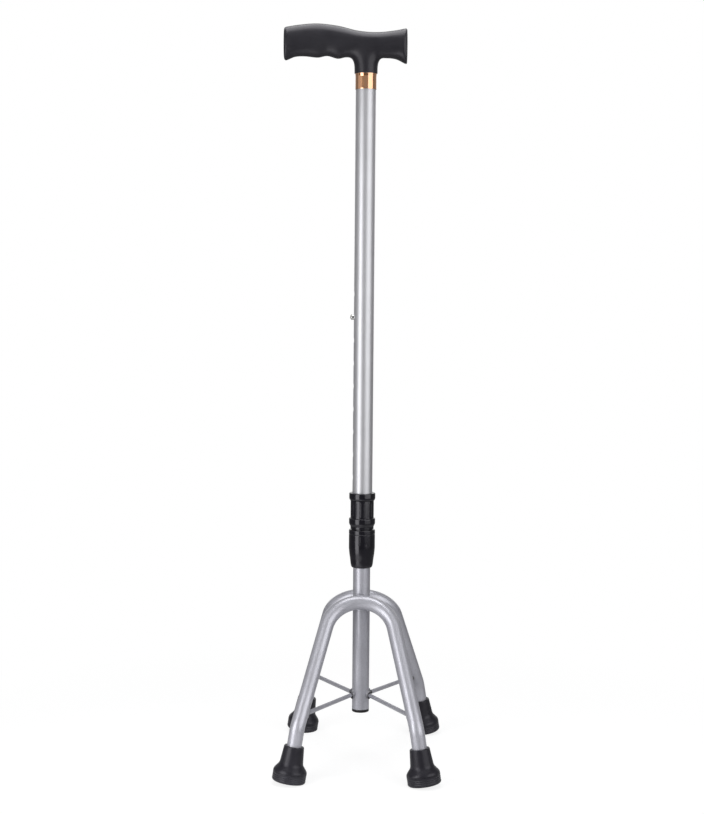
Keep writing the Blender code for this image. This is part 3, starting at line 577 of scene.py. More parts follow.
# Welds
# Beads of weld metal under the powder coat: a fillet round the contact of each arch's crown with the stem,
# and a small uneven cone at each end of each brace.
CROWN_WELD_ACROSS = 0.0062
CROWN_WELD_UP = 0.0075
CROWN_WELD_BULGE = 0.0009
CROWN_WELD_HOLLOW = 1.2
CROWN_WELD_SUNK = 0.0004
CROWN_WELD_COLUMNS = 120
CROWN_WELD_ROWS, CROWN_WELD_BACK_ROWS = 9, 3
WELD_RIPPLES = 22
WELD_RIPPLE_DEPTH = 0.00016
ROD_WELD_BASE = 0.0043
ROD_WELD_REACH = 0.0052
ROD_WELD_TALL = 1.35
ROD_WELD_HOLLOW = 1.6
ROD_WELD_BURIED = (-0.35, -0.15)
ROD_WELD_CLEARANCE = 0.0001
# Share of the radius, waves round the rod and twist along it of each ripple
ROD_WELD_RIPPLES = ((0.035, 7, 9), (0.025, 4, -14))
ROD_WELD_ROWS, ROD_WELD_COLUMNS = 12, 40
# Painted shade in the weld crevices: its place beside the stem, its squash, and its fade there and at the
# rear right leg
CREVICE_SHADE_PLACE = (0.0106, 0, 0.0704)
CREVICE_SHADE_SHAPE = (1, 0, 0.55)
CREVICE_SHADE_FADE = (0.0031, 0.0019)
LEG_CREVICE_SHADE_FADE = (0.0062, 0.0036)


def crown_weld(side_y):
    """Closed ring: round the contact the section runs from the stem's surface S to the crown's surface C and
    back, (1 - v) S + v C, bulging outwards by sin(pi v) and rippled round the ring."""
    around = 2 * np.pi * np.arange(CROWN_WELD_COLUMNS)[:, None] / CROWN_WELD_COLUMNS
    dx, dz = CROWN_WELD_ACROSS * np.cos(around), CROWN_WELD_UP * np.sin(around)
    lean = leg_points(1, side_y)[0]
    down = CROWN_BEND - np.sqrt(CROWN_BEND ** 2 - dx ** 2)
    stem_point = np.concatenate([dx, side_y * np.sqrt(STEM_RADIUS ** 2 - dx ** 2), CROWN_HEIGHT + dz], 1)
    tube_y = side_y * (CROWN_OFFSET - np.sqrt(LEG_RADIUS ** 2 - dz ** 2)) + lean[1] * down
    tube_point = np.concatenate([dx, tube_y, CROWN_HEIGHT + dz + lean[2] * down], 1)
    outward = np.concatenate([np.cos(around), 0 * dx, np.sin(around)], 1)
    sunk = np.array([0, side_y * CROWN_WELD_SUNK, 0])
    front, back = np.linspace(0, 1, CROWN_WELD_ROWS), np.linspace(1, 0, CROWN_WELD_BACK_ROWS + 2)[1:-1]
    v = np.concatenate([front, back])[None, :, None]
    bulge = np.concatenate([np.sin(np.pi * front), -CROWN_WELD_HOLLOW * np.ones(CROWN_WELD_BACK_ROWS)])
    height = (CROWN_WELD_BULGE + WELD_RIPPLE_DEPTH * np.sin(WELD_RIPPLES * around)) * bulge[None, :]
    ring = ((1 - v) * (stem_point - sunk)[:, None] + v * (tube_point + sunk)[:, None]
            + height[..., None] * outward[:, None])
    return np.concatenate([ring, ring[:1]])


def rod_weld(start, axis, tall_axis):
    """Cone of weld round a rod: r runs from the base's radius down to the rod's as (1 - t) ** 1.6, taller
    along tall_axis, with an uneven ripple round it."""
    t = np.concatenate([ROD_WELD_BURIED, np.linspace(0, 1, ROD_WELD_ROWS)])[:, None]
    a = 2 * np.pi * np.arange(ROD_WELD_COLUMNS)[None, :] / ROD_WELD_COLUMNS
    left = np.clip(1 - t, 0, 1)
    radius = BRACE_RADIUS - ROD_WELD_CLEARANCE + (ROD_WELD_BASE - BRACE_RADIUS) * left ** ROD_WELD_HOLLOW
    ripples = [share * np.sin(waves * a + twist * t) for share, waves, twist in ROD_WELD_RIPPLES]
    radius = radius * (1 + sum(ripples))
    up = unit(tall_axis - axis * (axis @ tall_axis))
    side = np.cross(axis, up)
    stretch = 1 + (ROD_WELD_TALL - 1) * left
    grid = (start + (t * ROD_WELD_REACH)[..., None] * axis + (radius * np.cos(a) * stretch)[..., None] * up
            + (radius * np.sin(a))[..., None] * side)
    pole, tip = [np.repeat(row.mean(1, keepdims=True), ROD_WELD_COLUMNS, 1) for row in (grid[:1], grid[-1:])]
    return np.concatenate([pole, grid, tip])


def coated_weld():
    """Rippled weld beads under the same silver coat. The eye gets the grey sheen broken by 1 mm spatter, and
    painted shade, brown-black and rougher, in the crevices beside the rods' welds at the stem and at the rear
    right leg."""
    material, tree, place = new_finish("coated_weld_bead", {"Metallic": 0.6})
    spatter = add(tree, "TexNoise", place, 1000 / 1.0, 4)
    either_side = add(tree, "VectorMath", place, operation="ABSOLUTE")
    from_stem = add(tree, "VectorMath", either_side, CREVICE_SHADE_PLACE, operation="SUBTRACT")
    from_stem = add(tree, "VectorMath", from_stem, CREVICE_SHADE_SHAPE, operation="MULTIPLY")
    from_stem = add(tree, "VectorMath", from_stem, operation="LENGTH")
    # Painted shade: brown-black in the crevices round the rods' welds at the stem and beside the rear right
    # rod's weld on its leg
    stem_painted_shade = add(tree, "MapRange", from_stem, *CREVICE_SHADE_FADE, 0, 1)
    from_leg = add(tree, "VectorMath", place, brace_ends(1, 1)[1], operation="DISTANCE")
    leg_painted_shade = add(tree, "MapRange", from_leg, *LEG_CREVICE_SHADE_FADE, 0, 0.7)
    painted_shade = add(tree, "Math", stem_painted_shade, leg_painted_shade, operation="MAXIMUM")
    colours = ("#8E8E93", (spatter, "#BDBDC3"), (painted_shade, "#2E2B2A"))
    rough = add(tree, "MapRange", painted_shade, 0, 1, 0.36, 0.8)
    return finished(material, colours, rough, spatter, 0.4, 0.0002)


WELD = coated_weld()
for end, side_y in (("front", -1), ("rear", 1)):
    place_piece(shell(end + "_crown_weld", [crown_weld(side_y)]), WELD, "base", "silver_paint")
for side, side_x in (("left", -1), ("right", 1)):
    beads = []
    for side_y in (-1, 1):
        on_stem, on_leg, rod = brace_ends(side_x, side_y)
        bend_end, knee = leg_points(side_x, side_y)[2:4]
        beads += [rod_weld(on_stem, rod, np.array([0, 0, 1.0])),
                  rod_weld(on_leg, -rod, unit(knee - bend_end))]
    place_piece(shell(side + "_brace_welds", beads), WELD, "base", "silver_paint")


# Feet
# Ribbed black rubber ferrules pushed over the leg ends, each with a steel washer inside that the tube
# stands on. They tilt with the legs, so each rests on the inner part of its sole.
FOOT_HEIGHT = 0.0385
FOOT_BORE = 0.0083
FOOT_FLOOR = 0.0095
FOOT_MOUTH = 0.0107
FOOT_NECK = 0.0127
FOOT_NECK_HEIGHT = 0.0192
FOOT_CORNER_HEIGHT = 0.0124
FOOT_BASE_HEIGHT = 0.0105
FOOT_RINGS = (0.0078, 0.0058, 0.0038)
FOOT_RING_DEPTH = 0.00045
FOOT_RING_HALF = 0.00045
FOOT_COLUMNS = 112
FOOT_BASE_ROWS, FOOT_EDGE_ROWS, FOOT_SOLE_ROWS = 64, 9, 12


def foot_profile():
    """Up the bore, over the mouth, down the sleeve, out along the sloping shoulder, down the base with its
    grooves, round the edge and in along the sole."""
    upper = rounded([(0, FOOT_FLOOR, 0), (FOOT_BORE, FOOT_FLOOR, 0.0004), (FOOT_BORE, FOOT_HEIGHT, 0.0004),
                     (FOOT_MOUTH, FOOT_HEIGHT, 0.0009), (FOOT_NECK, FOOT_NECK_HEIGHT, 0.0022),
                     (FOOT_BASE_RADIUS, FOOT_CORNER_HEIGHT, 0.0019), (FOOT_BASE_RADIUS, FOOT_BASE_HEIGHT, 0)])
    upper = upper[:-CORNER_STEPS - 2]
    h = np.linspace(FOOT_BASE_HEIGHT, FOOT_SOLE_EDGE, FOOT_BASE_ROWS)
    dip = sum(np.exp(-((h - ring) / FOOT_RING_HALF) ** 2) for ring in FOOT_RINGS)
    base = np.stack([FOOT_BASE_RADIUS - FOOT_RING_DEPTH * dip, h], 1)
    turn = np.linspace(0, np.pi / 2, FOOT_EDGE_ROWS)[1:]
    edge = np.stack([FOOT_BASE_RADIUS - FOOT_SOLE_EDGE * (1 - np.cos(turn)),
                     FOOT_SOLE_EDGE * (1 - np.sin(turn))], 1)
    inwards = np.linspace(FOOT_BASE_RADIUS - FOOT_SOLE_EDGE, 0, FOOT_SOLE_ROWS)[1:]
    return np.concatenate([upper, base, edge, np.stack([inwards, 0 * inwards], 1)])


def refinish(node, material):
    """Gives a CAD solid that stays as it is its real finish."""
    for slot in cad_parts[node].material_slots:
        slot.material = material


def black_rubber():
    """Vulcanised natural rubber filled with carbon black, pressed in a mould. The eye gets a dull blue-black
    with a wide weak sheen, pores and grit of 1 mm, and pale dust low down where it meets the floor."""
    material, tree, place = new_finish(
        "black_rubber", {"Specular IOR Level": 0.42, "Specular Tint": (0.95, 0.93, 1.0, 1.0)})
    clouds = add(tree, "TexNoise", place, 1000 / 9, 7, 0.6)
    low = add(tree, "MapRange", add(tree, "SeparateXYZ", place, out="Z"), 0.014, 0.001, 0, 0.5)
    dust = add(tree, "Math", clouds, low, operation="MULTIPLY")
    worn = add(tree, "Attribute", out="Fac", attribute_name="wear")
    rubbed = add(tree, "Math", worn, 0.25, dust, operation="MULTIPLY_ADD")
    colours = ("#17161C", (clouds, "#25242B"), (rubbed, "#5A5A60"))
    rough = add(tree, "MapRange", clouds, 0.3, 0.75, 0.29, 0.40)
    # Real pores are 0.2 mm; these are 1.1 mm, as fine as the picture can show
    pores = add(tree, "TexNoise", place, 1000 / 1.1, 3)
    return finished(material, colours, rough, pores, 0.5, 0.00012)


def bright_zinc():
    """Zinc plate on steel, chromate dipped. The eye gets a cool bright metal with faint spangles and bluish
    and yellowish tints."""
    material, tree, place = new_finish("bright_zinc_plate", {"Metallic": 1.0})
    spangle = add(tree, "TexVoronoi", place, 1000 / 1.5, out="Color")
    colours = ("#C4C8CE", (add(tree, "SeparateColor", spangle, out="Green"), "#D2CFC6"))
    smear = add(tree, "TexNoise", place, 1000 / 4, 5)
    rough = add(tree, "MapRange", smear, 0.3, 0.75, 0.2, 0.36)
    return finished(material, colours, rough, smear, 0.2, 0.00005)


RUBBER = black_rubber()
ZINC = bright_zinc()
for corner, side_x, side_y in CORNERS:
    surface = turned(foot_profile(), FOOT_COLUMNS, *leg_points(side_x, side_y)[4:])
    surface[..., 2] = np.maximum(surface[..., 2], 0)
    place_piece(shell("rubber_foot_" + corner, [surface]), RUBBER, "base", "foot_rubber", "foot_" + corner)
    refinish("foot_washer_" + corner, ZINC)


# Snap spring and button
# A strip of spring steel bent to a V inside the stem pushes a turned steel pin out through the holes. Both
# are zinc plated, and the pin is riveted to the strip; in the real cane its near arm bends in with the pin.
SPRING_WIDTH = 0.0080
SPRING_THICKNESS = 0.0008
SPRING_MIDDLE = 0.00653
SPRING_TOP = 0.5013
SPRING_SHOULDER = 0.4873
SPRING_BEND_HEIGHT = 0.4553
SPRING_BEND_RADIUS = 0.0022
BUTTON_RADIUS = 0.0030
BUTTON_TIP = 0.0150
BUTTON_DOME = 0.0018
BUTTON_FACE = 0.00723
BUTTON_COLUMNS = 64
RIVET_RADIUS = 0.0013
RIVET_HEAD_RADIUS = 0.0024
RIVET_INNER = 0.00583
RIVET_HEAD = 0.00513
SHOULDER_ROWS, ARM_ROWS, BEND_ROWS, DOME_ROWS = 9, 25, 17, 16


def spring_strip():
    """Flat strip along a V: P = (x, 0, z) + y w (0, 1, 0) + n t, where n is square to the path in the XZ
    plane and y w and t run round a rectangle. Points drawn together in the middle close both ends."""
    top, shoulder = (-SPRING_MIDDLE, SPRING_TOP), (-SPRING_MIDDLE, SPRING_SHOULDER)
    near = np.vstack([np.linspace(top, shoulder, SHOULDER_ROWS)[:-1],
                      np.linspace(shoulder, (-SPRING_BEND_RADIUS, SPRING_BEND_HEIGHT), ARM_ROWS)])
    bend = np.linspace(np.pi, 2 * np.pi, BEND_ROWS)[1:-1]
    round_bend = np.stack([np.cos(bend), np.sin(bend)], 1) * SPRING_BEND_RADIUS + (0, SPRING_BEND_HEIGHT)
    path = np.vstack([near, round_bend, near[::-1] * (-1, 1)])
    tangent = unit(np.gradient(path, axis=0))
    normal = np.stack([tangent[:, 1], 0 * tangent[:, 0], -tangent[:, 0]], 1)
    corner = np.array([(-1, -1), (1, -1), (1, 1), (-1, 1)]) / 2
    middle = np.stack([path[:, 0], 0 * path[:, 0], path[:, 1]], 1)
    grid = (middle[:, None] + corner[:, :1] * SPRING_WIDTH * np.array([0, 1.0, 0])
            + normal[:, None] * corner[:, 1:] * SPRING_THICKNESS)
    ends = np.repeat(middle[[0, -1], None], 4, axis=1)
    return np.concatenate([ends[:1], grid, ends[1:]])


spring = bpy.data.objects.new("snap_spring_strip", shell("snap_spring_strip", [spring_strip()]))
spring.data.materials.append(ZINC)
bpy.context.scene.collection.objects.link(spring)
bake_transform(spring)
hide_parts("snap_spring")
turn = np.linspace(0, np.pi / 2, DOME_ROWS)
dome = np.stack([BUTTON_RADIUS * np.sin(turn), BUTTON_TIP - BUTTON_DOME * (1 - np.cos(turn))], 1)
shank = rounded([
    (BUTTON_RADIUS, BUTTON_TIP - 1.1 * BUTTON_DOME, 0.0001), (BUTTON_RADIUS, BUTTON_FACE, 0.0002),
    (RIVET_RADIUS, BUTTON_FACE, 0.0001), (RIVET_RADIUS, RIVET_INNER, 0.0001),
    (RIVET_HEAD_RADIUS, RIVET_INNER, 0.0001), (RIVET_HEAD_RADIUS, RIVET_HEAD, 0.0002), (0, RIVET_HEAD, 0)])
button_grid = turned(np.concatenate([dome, shank]), BUTTON_COLUMNS, (0, 0, BUTTON_HEIGHT), (-1, 0, 0))
place_piece(shell("snap_button_pin", [button_grid]), ZINC, "button", "plated_steel", "snap_button")


# Shaft
# A drawn aluminium tube, clear anodised, with a row of nine height holes drilled in its left side. It
# slides on the stem.
SHAFT_RADIUS = 0.011
SHAFT_WALL = 0.0012
SHAFT_FOOT = 0.2622
SHAFT_TOP = 0.7602
LOWEST_HOLE = 0.3165
HOLE_COUNT = 9


def satin_anodised_aluminium():
    """Extruded and drawn aluminium, etched and clear anodised. The eye gets a bright satin metal that mirrors
    the softboxes as long soft bands, fine draw lines along it, faint cloudy etching, and small scuffs."""
    material, tree, place = new_finish("satin_anodised_aluminium", {"Metallic": 0.68})
    # Real draw lines are 0.05 mm apart; these are 0.5 mm and 80 mm long, as fine as the picture can show
    lines = add(tree, "TexNoise", add(tree, "Mapping", place, None, None, (2000, 2000, 12)), 1, 3)
    clouds = add(tree, "TexNoise", place, 1000 / 22, 6)
    # Scuffs 4 mm wide and 17 mm long
    scuffs = add(tree, "TexNoise", add(tree, "Mapping", place, None, None, (260, 260, 60)), 1, 8, 0.7)
    scuffed = add(tree, "MapRange", scuffs, 0.60, 0.78, 0, 0.3)
    colours = ("#C8C8CC", (clouds, "#D6D6DA"), (scuffed, "#A6A6AB"))
    smooth = add(tree, "MapRange", lines, 0.3, 0.7, 0.37, 0.43)
    rough = add(tree, "Math", scuffed, 0.3, smooth, operation="MULTIPLY_ADD")
    return finished(material, colours, rough, lines, 0.12, 0.00005)


shaft_holes = [LOWEST_HOLE + HOLE_PITCH * k for k in range(HOLE_COUNT)]
shaft_mesh = holed_tube("shaft_tube", SHAFT_RADIUS, SHAFT_FOOT, SHAFT_TOP, shaft_holes)
shaft = place_piece(shaft_mesh, satin_anodised_aluminium(), "shaft", "anodised_aluminium", "upper_tube")
wall_and_edges(shaft, SHAFT_WALL, TUBE_EDGE)


# Collar
# A thin brass ring pressed over the shaft's top, polished and lacquered, that hides the joint with the
# handle. Its upper end flares a little under the neck and its lower edge is rolled in.
COLLAR_INNER = 0.0113
COLLAR_OUTER = 0.0116
COLLAR_FOOT = 0.7422
COLLAR_TOP = 0.7592
COLLAR_FLARE = 0.0003
COLLAR_FLARE_HEIGHT = 0.0033
COLLAR_ROLL = 0.00005
COLLAR_ROLL_HEIGHT = 0.0010


def polished_brass():
    """Sheet brass, polished and lacquered. The eye gets a warm yellow mirror that goes brown where it
    reflects the dim room, with fine polishing lines round the ring and a few tarnished spots."""
    material, tree, place = new_finish(
        "polished_brass", {"Metallic": 0.93, "Coat Weight": 1.0, "Coat IOR": 2.9, "Coat Roughness": 0.06})
    # Real polishing lines are 0.05 mm apart; these are 0.4 mm, as fine as the picture can show
    lines = add(tree, "TexNoise", add(tree, "Mapping", place, None, None, (60, 60, 2500)), 1, 2)
    spots = add(tree, "TexNoise", place, 1000 / 5, 6)
    tarnish = add(tree, "MapRange", spots, 0.52, 0.75, 0, 0.5)
    rough = add(tree, "MapRange", lines, 0.3, 0.7, 0.12, 0.18)
    return finished(material, ("#EA9A4A", (tarnish, "#BE6C30")), rough, lines, 0.1, 0.00004)


collar_profile = rounded([
    (COLLAR_INNER, COLLAR_FOOT, 0.00005), (COLLAR_OUTER - COLLAR_ROLL, COLLAR_FOOT, 0.00005),
    (COLLAR_OUTER, COLLAR_FOOT + COLLAR_ROLL_HEIGHT, 0.0004),
    (COLLAR_OUTER, COLLAR_TOP - COLLAR_FLARE_HEIGHT, 0.0006),
    (COLLAR_OUTER + COLLAR_FLARE, COLLAR_TOP, 0.0001), (COLLAR_INNER, COLLAR_TOP, 0.0001)])
collar_grid = turned(np.concatenate([collar_profile, collar_profile[:1]]))
place_piece(shell("collar_ring", [collar_grid]), polished_brass(), "shaft", "collar_brass", "handle_collar")


# Handle
# One injection moulding in black plastic: a grip with rests between the fingers underneath and a hooked
# tip at each end, on a flared neck whose plug is pinned inside the shaft.
NECK_FOOT = 0.7605
NECK_RADIUS = 0.0126
NECK_SKIRT = 0.0010
NECK_RECESS = 0.0112
HANDLE_NOSE = -0.0898
HANDLE_HEEL = 0.0451
GRIP_TOP = ((-0.0898, 0.0482), (-0.0730, 0.0509), (-0.0530, 0.0523), (-0.0300, 0.0497), (-0.0090, 0.0447),
            (0.0110, 0.0431), (0.0300, 0.0448), (0.0451, 0.0476))
GRIP_UNDERSIDE = ((-0.0898, 0.0125), (-0.0860, 0.0135), (-0.0780, 0.0167), (-0.0670, 0.0173),
                  (-0.0530, 0.0160), (-0.0425, 0.0177), (-0.0310, 0.0149), (-0.0226, 0.0164), (0, 0.0165),
                  (0.0210, 0.0157), (0.0280, 0.0153), (0.0340, 0.0139), (0.0410, 0.0104), (0.0451, 0.0087))
GRIP_HALF_WIDTH = ((-0.0898, 0.0158), (-0.0780, 0.0147), (-0.0550, 0.0138), (-0.0250, 0.0146),
                   (0.0050, 0.0150), (0.0300, 0.0146), (0.0451, 0.0156))
SECTION_POWER = 2.6
END_ROUND_PLAN = 0.0042
END_ROUND_HEIGHT = 0.0020
END_DOME = 0.0005
GRIP_COLUMNS = 144
GRIP_ROWS, END_ROUND_ROWS, END_FACE_ROWS = 130, 14, 10
NECK_NOSE_REACH = -0.0226
NECK_HEEL_REACH = 0.0206
NECK_RISE_SIDE = 0.0110
NECK_FLARE_POWER = 3
NECK_SUNK = 0.0006
NECK_COLUMNS = 144
NECK_ROWS = 40
HANDLE_PLUG = 0.0095
HANDLE_PLUG_DEPTH = 0.030


def along(points, x):
    """Smooth curve through points: a cubic Hermite whose slope at each is that between its neighbours."""
    xs, ys = np.array(points).T
    inner = (ys[2:] - ys[:-2]) / (xs[2:] - xs[:-2])
    ends = np.diff(ys)[[0, -1]] / np.diff(xs)[[0, -1]]
    slope = np.concatenate([ends[:1], inner, ends[1:]])
    k = np.clip(np.searchsorted(xs, x) - 1, 0, len(xs) - 2)
    span = xs[k + 1] - xs[k]
    t = (x - xs[k]) / span
    return ((2 * t ** 3 - 3 * t ** 2 + 1) * ys[k] + (t ** 3 - 2 * t ** 2 + t) * span * slope[k]
            + (3 * t ** 2 - 2 * t ** 3) * ys[k + 1] + (t ** 3 - t ** 2) * span * slope[k + 1])


def section(x):
    """Half width, middle height and half height of the grip at x."""
    top, underside = along(GRIP_TOP, x), along(GRIP_UNDERSIDE, x)
    return along(GRIP_HALF_WIDTH, x), (top + underside) / 2, (top - underside) / 2


def rounded_power(value):
    """Superellipse coordinate from a cosine or sine: sign(v) |v| ** (2 / p)."""
    return np.sign(value) * np.abs(value) ** (2 / SECTION_POWER)


def grip_surface():
    """Superellipse |y / w| ** p + |z / h| ** p = 1 across the grip at each station. Near each end w and h
    shrink by quarter rounds, and rings that shrink to a point close the slightly domed end faces."""
    inset = END_DOME + END_ROUND_PLAN
    a = np.linspace(0, np.pi / 2, END_ROUND_ROWS)[:-1]
    near_nose = HANDLE_NOSE + END_DOME + END_ROUND_PLAN * (1 - np.cos(a))
    near_heel = HANDLE_HEEL - END_DOME - END_ROUND_PLAN * (1 - np.cos(a))
    x = np.concatenate([near_nose, np.linspace(HANDLE_NOSE + inset, HANDLE_HEEL - inset, GRIP_ROWS),
                        near_heel[::-1]])
    from_end = np.minimum(x - HANDLE_NOSE, HANDLE_HEEL - x) - END_DOME
    width, middle, half = section(x)
    for_plan = np.clip(END_ROUND_PLAN - from_end, 0, END_ROUND_PLAN)
    for_height = np.clip(END_ROUND_HEIGHT - from_end, 0, END_ROUND_HEIGHT)
    width = width - END_ROUND_PLAN + np.sqrt(END_ROUND_PLAN ** 2 - for_plan ** 2)
    half = half - END_ROUND_HEIGHT + np.sqrt(END_ROUND_HEIGHT ** 2 - for_height ** 2)
    shrink = np.linspace(0, 1, END_FACE_ROWS)[:-1]
    cap = END_DOME * (1 - shrink ** 2)
    x = np.concatenate([x[0] - cap, x, (x[-1] + cap)[::-1]])
    width = np.concatenate([width[0] * shrink, width, (width[-1] * shrink)[::-1]])
    half = np.concatenate([half[0] * shrink, half, (half[-1] * shrink)[::-1]])
    middle = np.concatenate([0 * shrink + middle[0], middle, 0 * shrink + middle[-1]])
    b = 2 * np.pi * (np.arange(GRIP_COLUMNS) + 0.5) / GRIP_COLUMNS
    y = width[:, None] * rounded_power(np.cos(b))
    z = NECK_FOOT + middle[:, None] + half[:, None] * rounded_power(np.sin(b))
    return np.stack([np.repeat(x[:, None], GRIP_COLUMNS, 1), y, z], -1)


def neck_surface():
    """From the neck's foot F to a seam G on the grip, P = F + U s + W (1 - (1 - s ** 3) ** (1 / 3)), where W
    lies in the grip's surface, square to the seam, and U + W = G - F. So it leaves the foot upwards and runs
    into the grip without a crease. The seam goes from the middle of the underside at nose and heel to the
    widest line at front and back. Below the foot the same grid goes on as a skirt over the shaft's
    edge and as the plug."""
    a = 2 * np.pi * np.arange(NECK_COLUMNS) / NECK_COLUMNS
    foot = np.stack([NECK_RADIUS * np.cos(a), NECK_RADIUS * np.sin(a), NECK_FOOT + 0 * a], 1)
    x = (NECK_HEEL_REACH + NECK_NOSE_REACH) / 2 + (NECK_HEEL_REACH - NECK_NOSE_REACH) / 2 * np.cos(a)
    width, middle, half = section(x)
    b = np.pi / 2 * (np.abs(np.sin(a)) - 1)
    y_share, z_share = np.sign(np.sin(a)) * rounded_power(np.cos(b)), rounded_power(np.sin(b))
    seam = np.stack([x, width * y_share, NECK_FOOT + middle + half * z_share], 1)
    step = 1e-5
    slopes = [(high - low) / (2 * step) for low, high in zip(section(x - step), section(x + step))]
    across_y = np.sign(y_share) * np.abs(y_share) ** (SECTION_POWER - 1) / width
    across_z = np.sign(z_share) * np.abs(z_share) ** (SECTION_POWER - 1) / half
    normal = unit(np.stack([-across_y * y_share * slopes[0] - across_z * (slopes[1] + z_share * slopes[2]),
                            across_y, across_z], 1))
    seam_way = unit(np.roll(seam, -1, 0) - np.roll(seam, 1, 0))
    reach = np.where(np.cos(a) > 0, NECK_HEEL_REACH - NECK_RADIUS, -NECK_NOSE_REACH - NECK_RADIUS)
    reach = reach * np.cos(a) ** 2 + NECK_RISE_SIDE * np.sin(a) ** 2
    w = unit(np.cross(normal, seam_way)) * reach[:, None]
    s = np.sin(np.linspace(0, np.pi / 2, NECK_ROWS))[:, None, None]
    neck = foot + (seam - foot - w) * s + w * (1 - (1 - s ** NECK_FLARE_POWER) ** (1 / NECK_FLARE_POWER))
    plug = rounded([
        (0, -HANDLE_PLUG_DEPTH, 0), (HANDLE_PLUG, -HANDLE_PLUG_DEPTH, 0.0006), (HANDLE_PLUG, 0, 0.0001),
        (NECK_RECESS, 0, 0.0001), (NECK_RECESS, -NECK_SKIRT, 0.0001), (NECK_RADIUS, -NECK_SKIRT, 0.0003)])
    sunk = (seam - normal * NECK_SUNK)[None]
    return np.concatenate([turned(plug + [0, NECK_FOOT], NECK_COLUMNS), neck, sunk])


# Acrylonitrile butadiene styrene, moulded in a spark-eroded mould: a satin charcoal black whose fine grain
# spreads the highlights. The grain is 0.3 mm in life and 1.0 mm here, as fine as the picture can show.
HANDLE_PLASTIC = moulded_black("satin_black_abs", "#252429", "#38373C", 0.36, 0.05, 1.0, 0.00007,
                               {"Specular IOR Level": 0.40, "Specular Tint": (0.97, 0.95, 1.0, 1.0)})
handle_mesh = shell("moulded_handle", [grip_surface(), neck_surface()])
place_piece(handle_mesh, HANDLE_PLASTIC, "shaft", "handle_plastic", "handle")


# Lock sleeve
# A gloss black moulding glued on the shaft's lower end: a flange, a barrel with flat-faced flutes for the
# fingers, a ring, a step, and inside the nut a threaded spigot.
SLEEVE_TOP = 0.2993
BARREL_TOP = 0.2913
RING_TOP = 0.2713
RING_FOOT = 0.2648
STEP_FOOT = 0.2593
SPIGOT_FOOT = 0.2439
SLEEVE_BORE = 0.0113
BARREL_RADIUS = 0.0129
RIM_RADIUS = 0.0145
SPIGOT_RADIUS = 0.0119
SPIGOT_BORE = 0.0098
LOCK_EDGE = 0.0011
RING_TAPER = 0.0031
END_GAP = 0.0003
BORE_MARGIN = 0.0003
BARREL_ROWS = 40
FLUTE_TOP = BARREL_TOP - 0.0011
FLUTE_FOOT = RING_TOP + 0.0006
FLUTE_RUN_OUT = 0.0022
FLUTE_COUNT = 18
FLUTE_DEPTH = 0.00022
FLUTE_NOTCH = 0.13
FLUTE_PHASE = math.radians(13.5)
LOCK_COLUMNS = 360


def fluted(profile, top, foot, run_out, pattern, phase):
    """Inset of a turned grid: pattern(angle) times a share that rises from 0 to 1 within run_out of top and
    foot, on the outside only. angle is counted from the front towards the right."""
    angle = 2 * np.pi * np.arange(LOCK_COLUMNS) / LOCK_COLUMNS + np.pi / 2
    h = profile[:, 1]
    share = np.clip((top - h) / run_out, 0, 1) * np.clip((h - foot) / run_out, 0, 1)
    share = share * share * (3 - 2 * share)
    outside = profile[:, 0] > SPIGOT_RADIUS + BORE_MARGIN
    return (share * outside)[:, None] * pattern(angle - phase)[None, :]


def notched(angle, count, depth, width):
    """Place p across each of count fields, from -1 to 1, and the narrow rounded groove between them:
    depth exp(-((1 - |p|) / width) ** 2)."""
    p = (angle * count / (2 * np.pi)) % 1 * 2 - 1
    return p, depth * np.exp(-((1 - np.abs(p)) / width) ** 2)


def panels(angle):
    """Flat-faced panels with a narrow groove between them: the sagitta of a flat plus a narrow notch."""
    p, notch = notched(angle, FLUTE_COUNT, FLUTE_DEPTH, FLUTE_NOTCH)
    return notch - BARREL_RADIUS * (1 / np.cos(0.5 * p * np.pi / FLUTE_COUNT) - 1)


sleeve_rows = rounded([
    (SLEEVE_BORE, SLEEVE_TOP, 0.0004), (RIM_RADIUS, SLEEVE_TOP, LOCK_EDGE), (RIM_RADIUS, BARREL_TOP, 0.0026),
    (BARREL_RADIUS, BARREL_TOP - 0.0006, 0.0005)])
barrel_rows = np.stack([np.full(BARREL_ROWS, BARREL_RADIUS),
                        np.linspace(BARREL_TOP - 0.0013, RING_TOP + 0.0007, BARREL_ROWS)], 1)
ring_rows = rounded([
    (BARREL_RADIUS, RING_TOP, 0.0004), (RIM_RADIUS, RING_TOP - 0.0004, 0.0009),
    (RIM_RADIUS, RING_FOOT, 0.0010), (BARREL_RADIUS, RING_FOOT - RING_TAPER, 0.0004),
    (BARREL_RADIUS, STEP_FOOT, 0.0004), (SPIGOT_RADIUS, STEP_FOOT, 0.0002),
    (SPIGOT_RADIUS, SPIGOT_FOOT, 0.0004), (SPIGOT_BORE, SPIGOT_FOOT, 0.0004),
    (SPIGOT_BORE, SHAFT_FOOT - END_GAP, 0.0002), (SLEEVE_BORE, SHAFT_FOOT - END_GAP, 0.0002)])
sleeve_profile = np.concatenate([sleeve_rows, barrel_rows, ring_rows, sleeve_rows[:1]])
sleeve_inset = fluted(sleeve_profile, FLUTE_TOP, FLUTE_FOOT, FLUTE_RUN_OUT, panels, FLUTE_PHASE)
# Acrylonitrile butadiene styrene from a polished mould: long sharp-edged highlights on a nearly black body.
# Its faint waviness, 2.5 mm from crest to crest, is the shrinkage of the moulding.
LOCK_PLASTIC = moulded_black(
    "gloss_black_abs", "#0D0C13", "#1F1E25", 0.19, 0.05, 2.5, 0.00003,
    {"Coat Weight": 0.3, "Coat Roughness": 0.08, "Specular Tint": (0.95, 0.93, 1.0, 1.0)})
sleeve_mesh = shell("sleeve_moulding", [turned(sleeve_profile, LOCK_COLUMNS, inset=sleeve_inset)])
place_piece(sleeve_mesh, LOCK_PLASTIC, "shaft", "lock_plastic", "lock_sleeve")


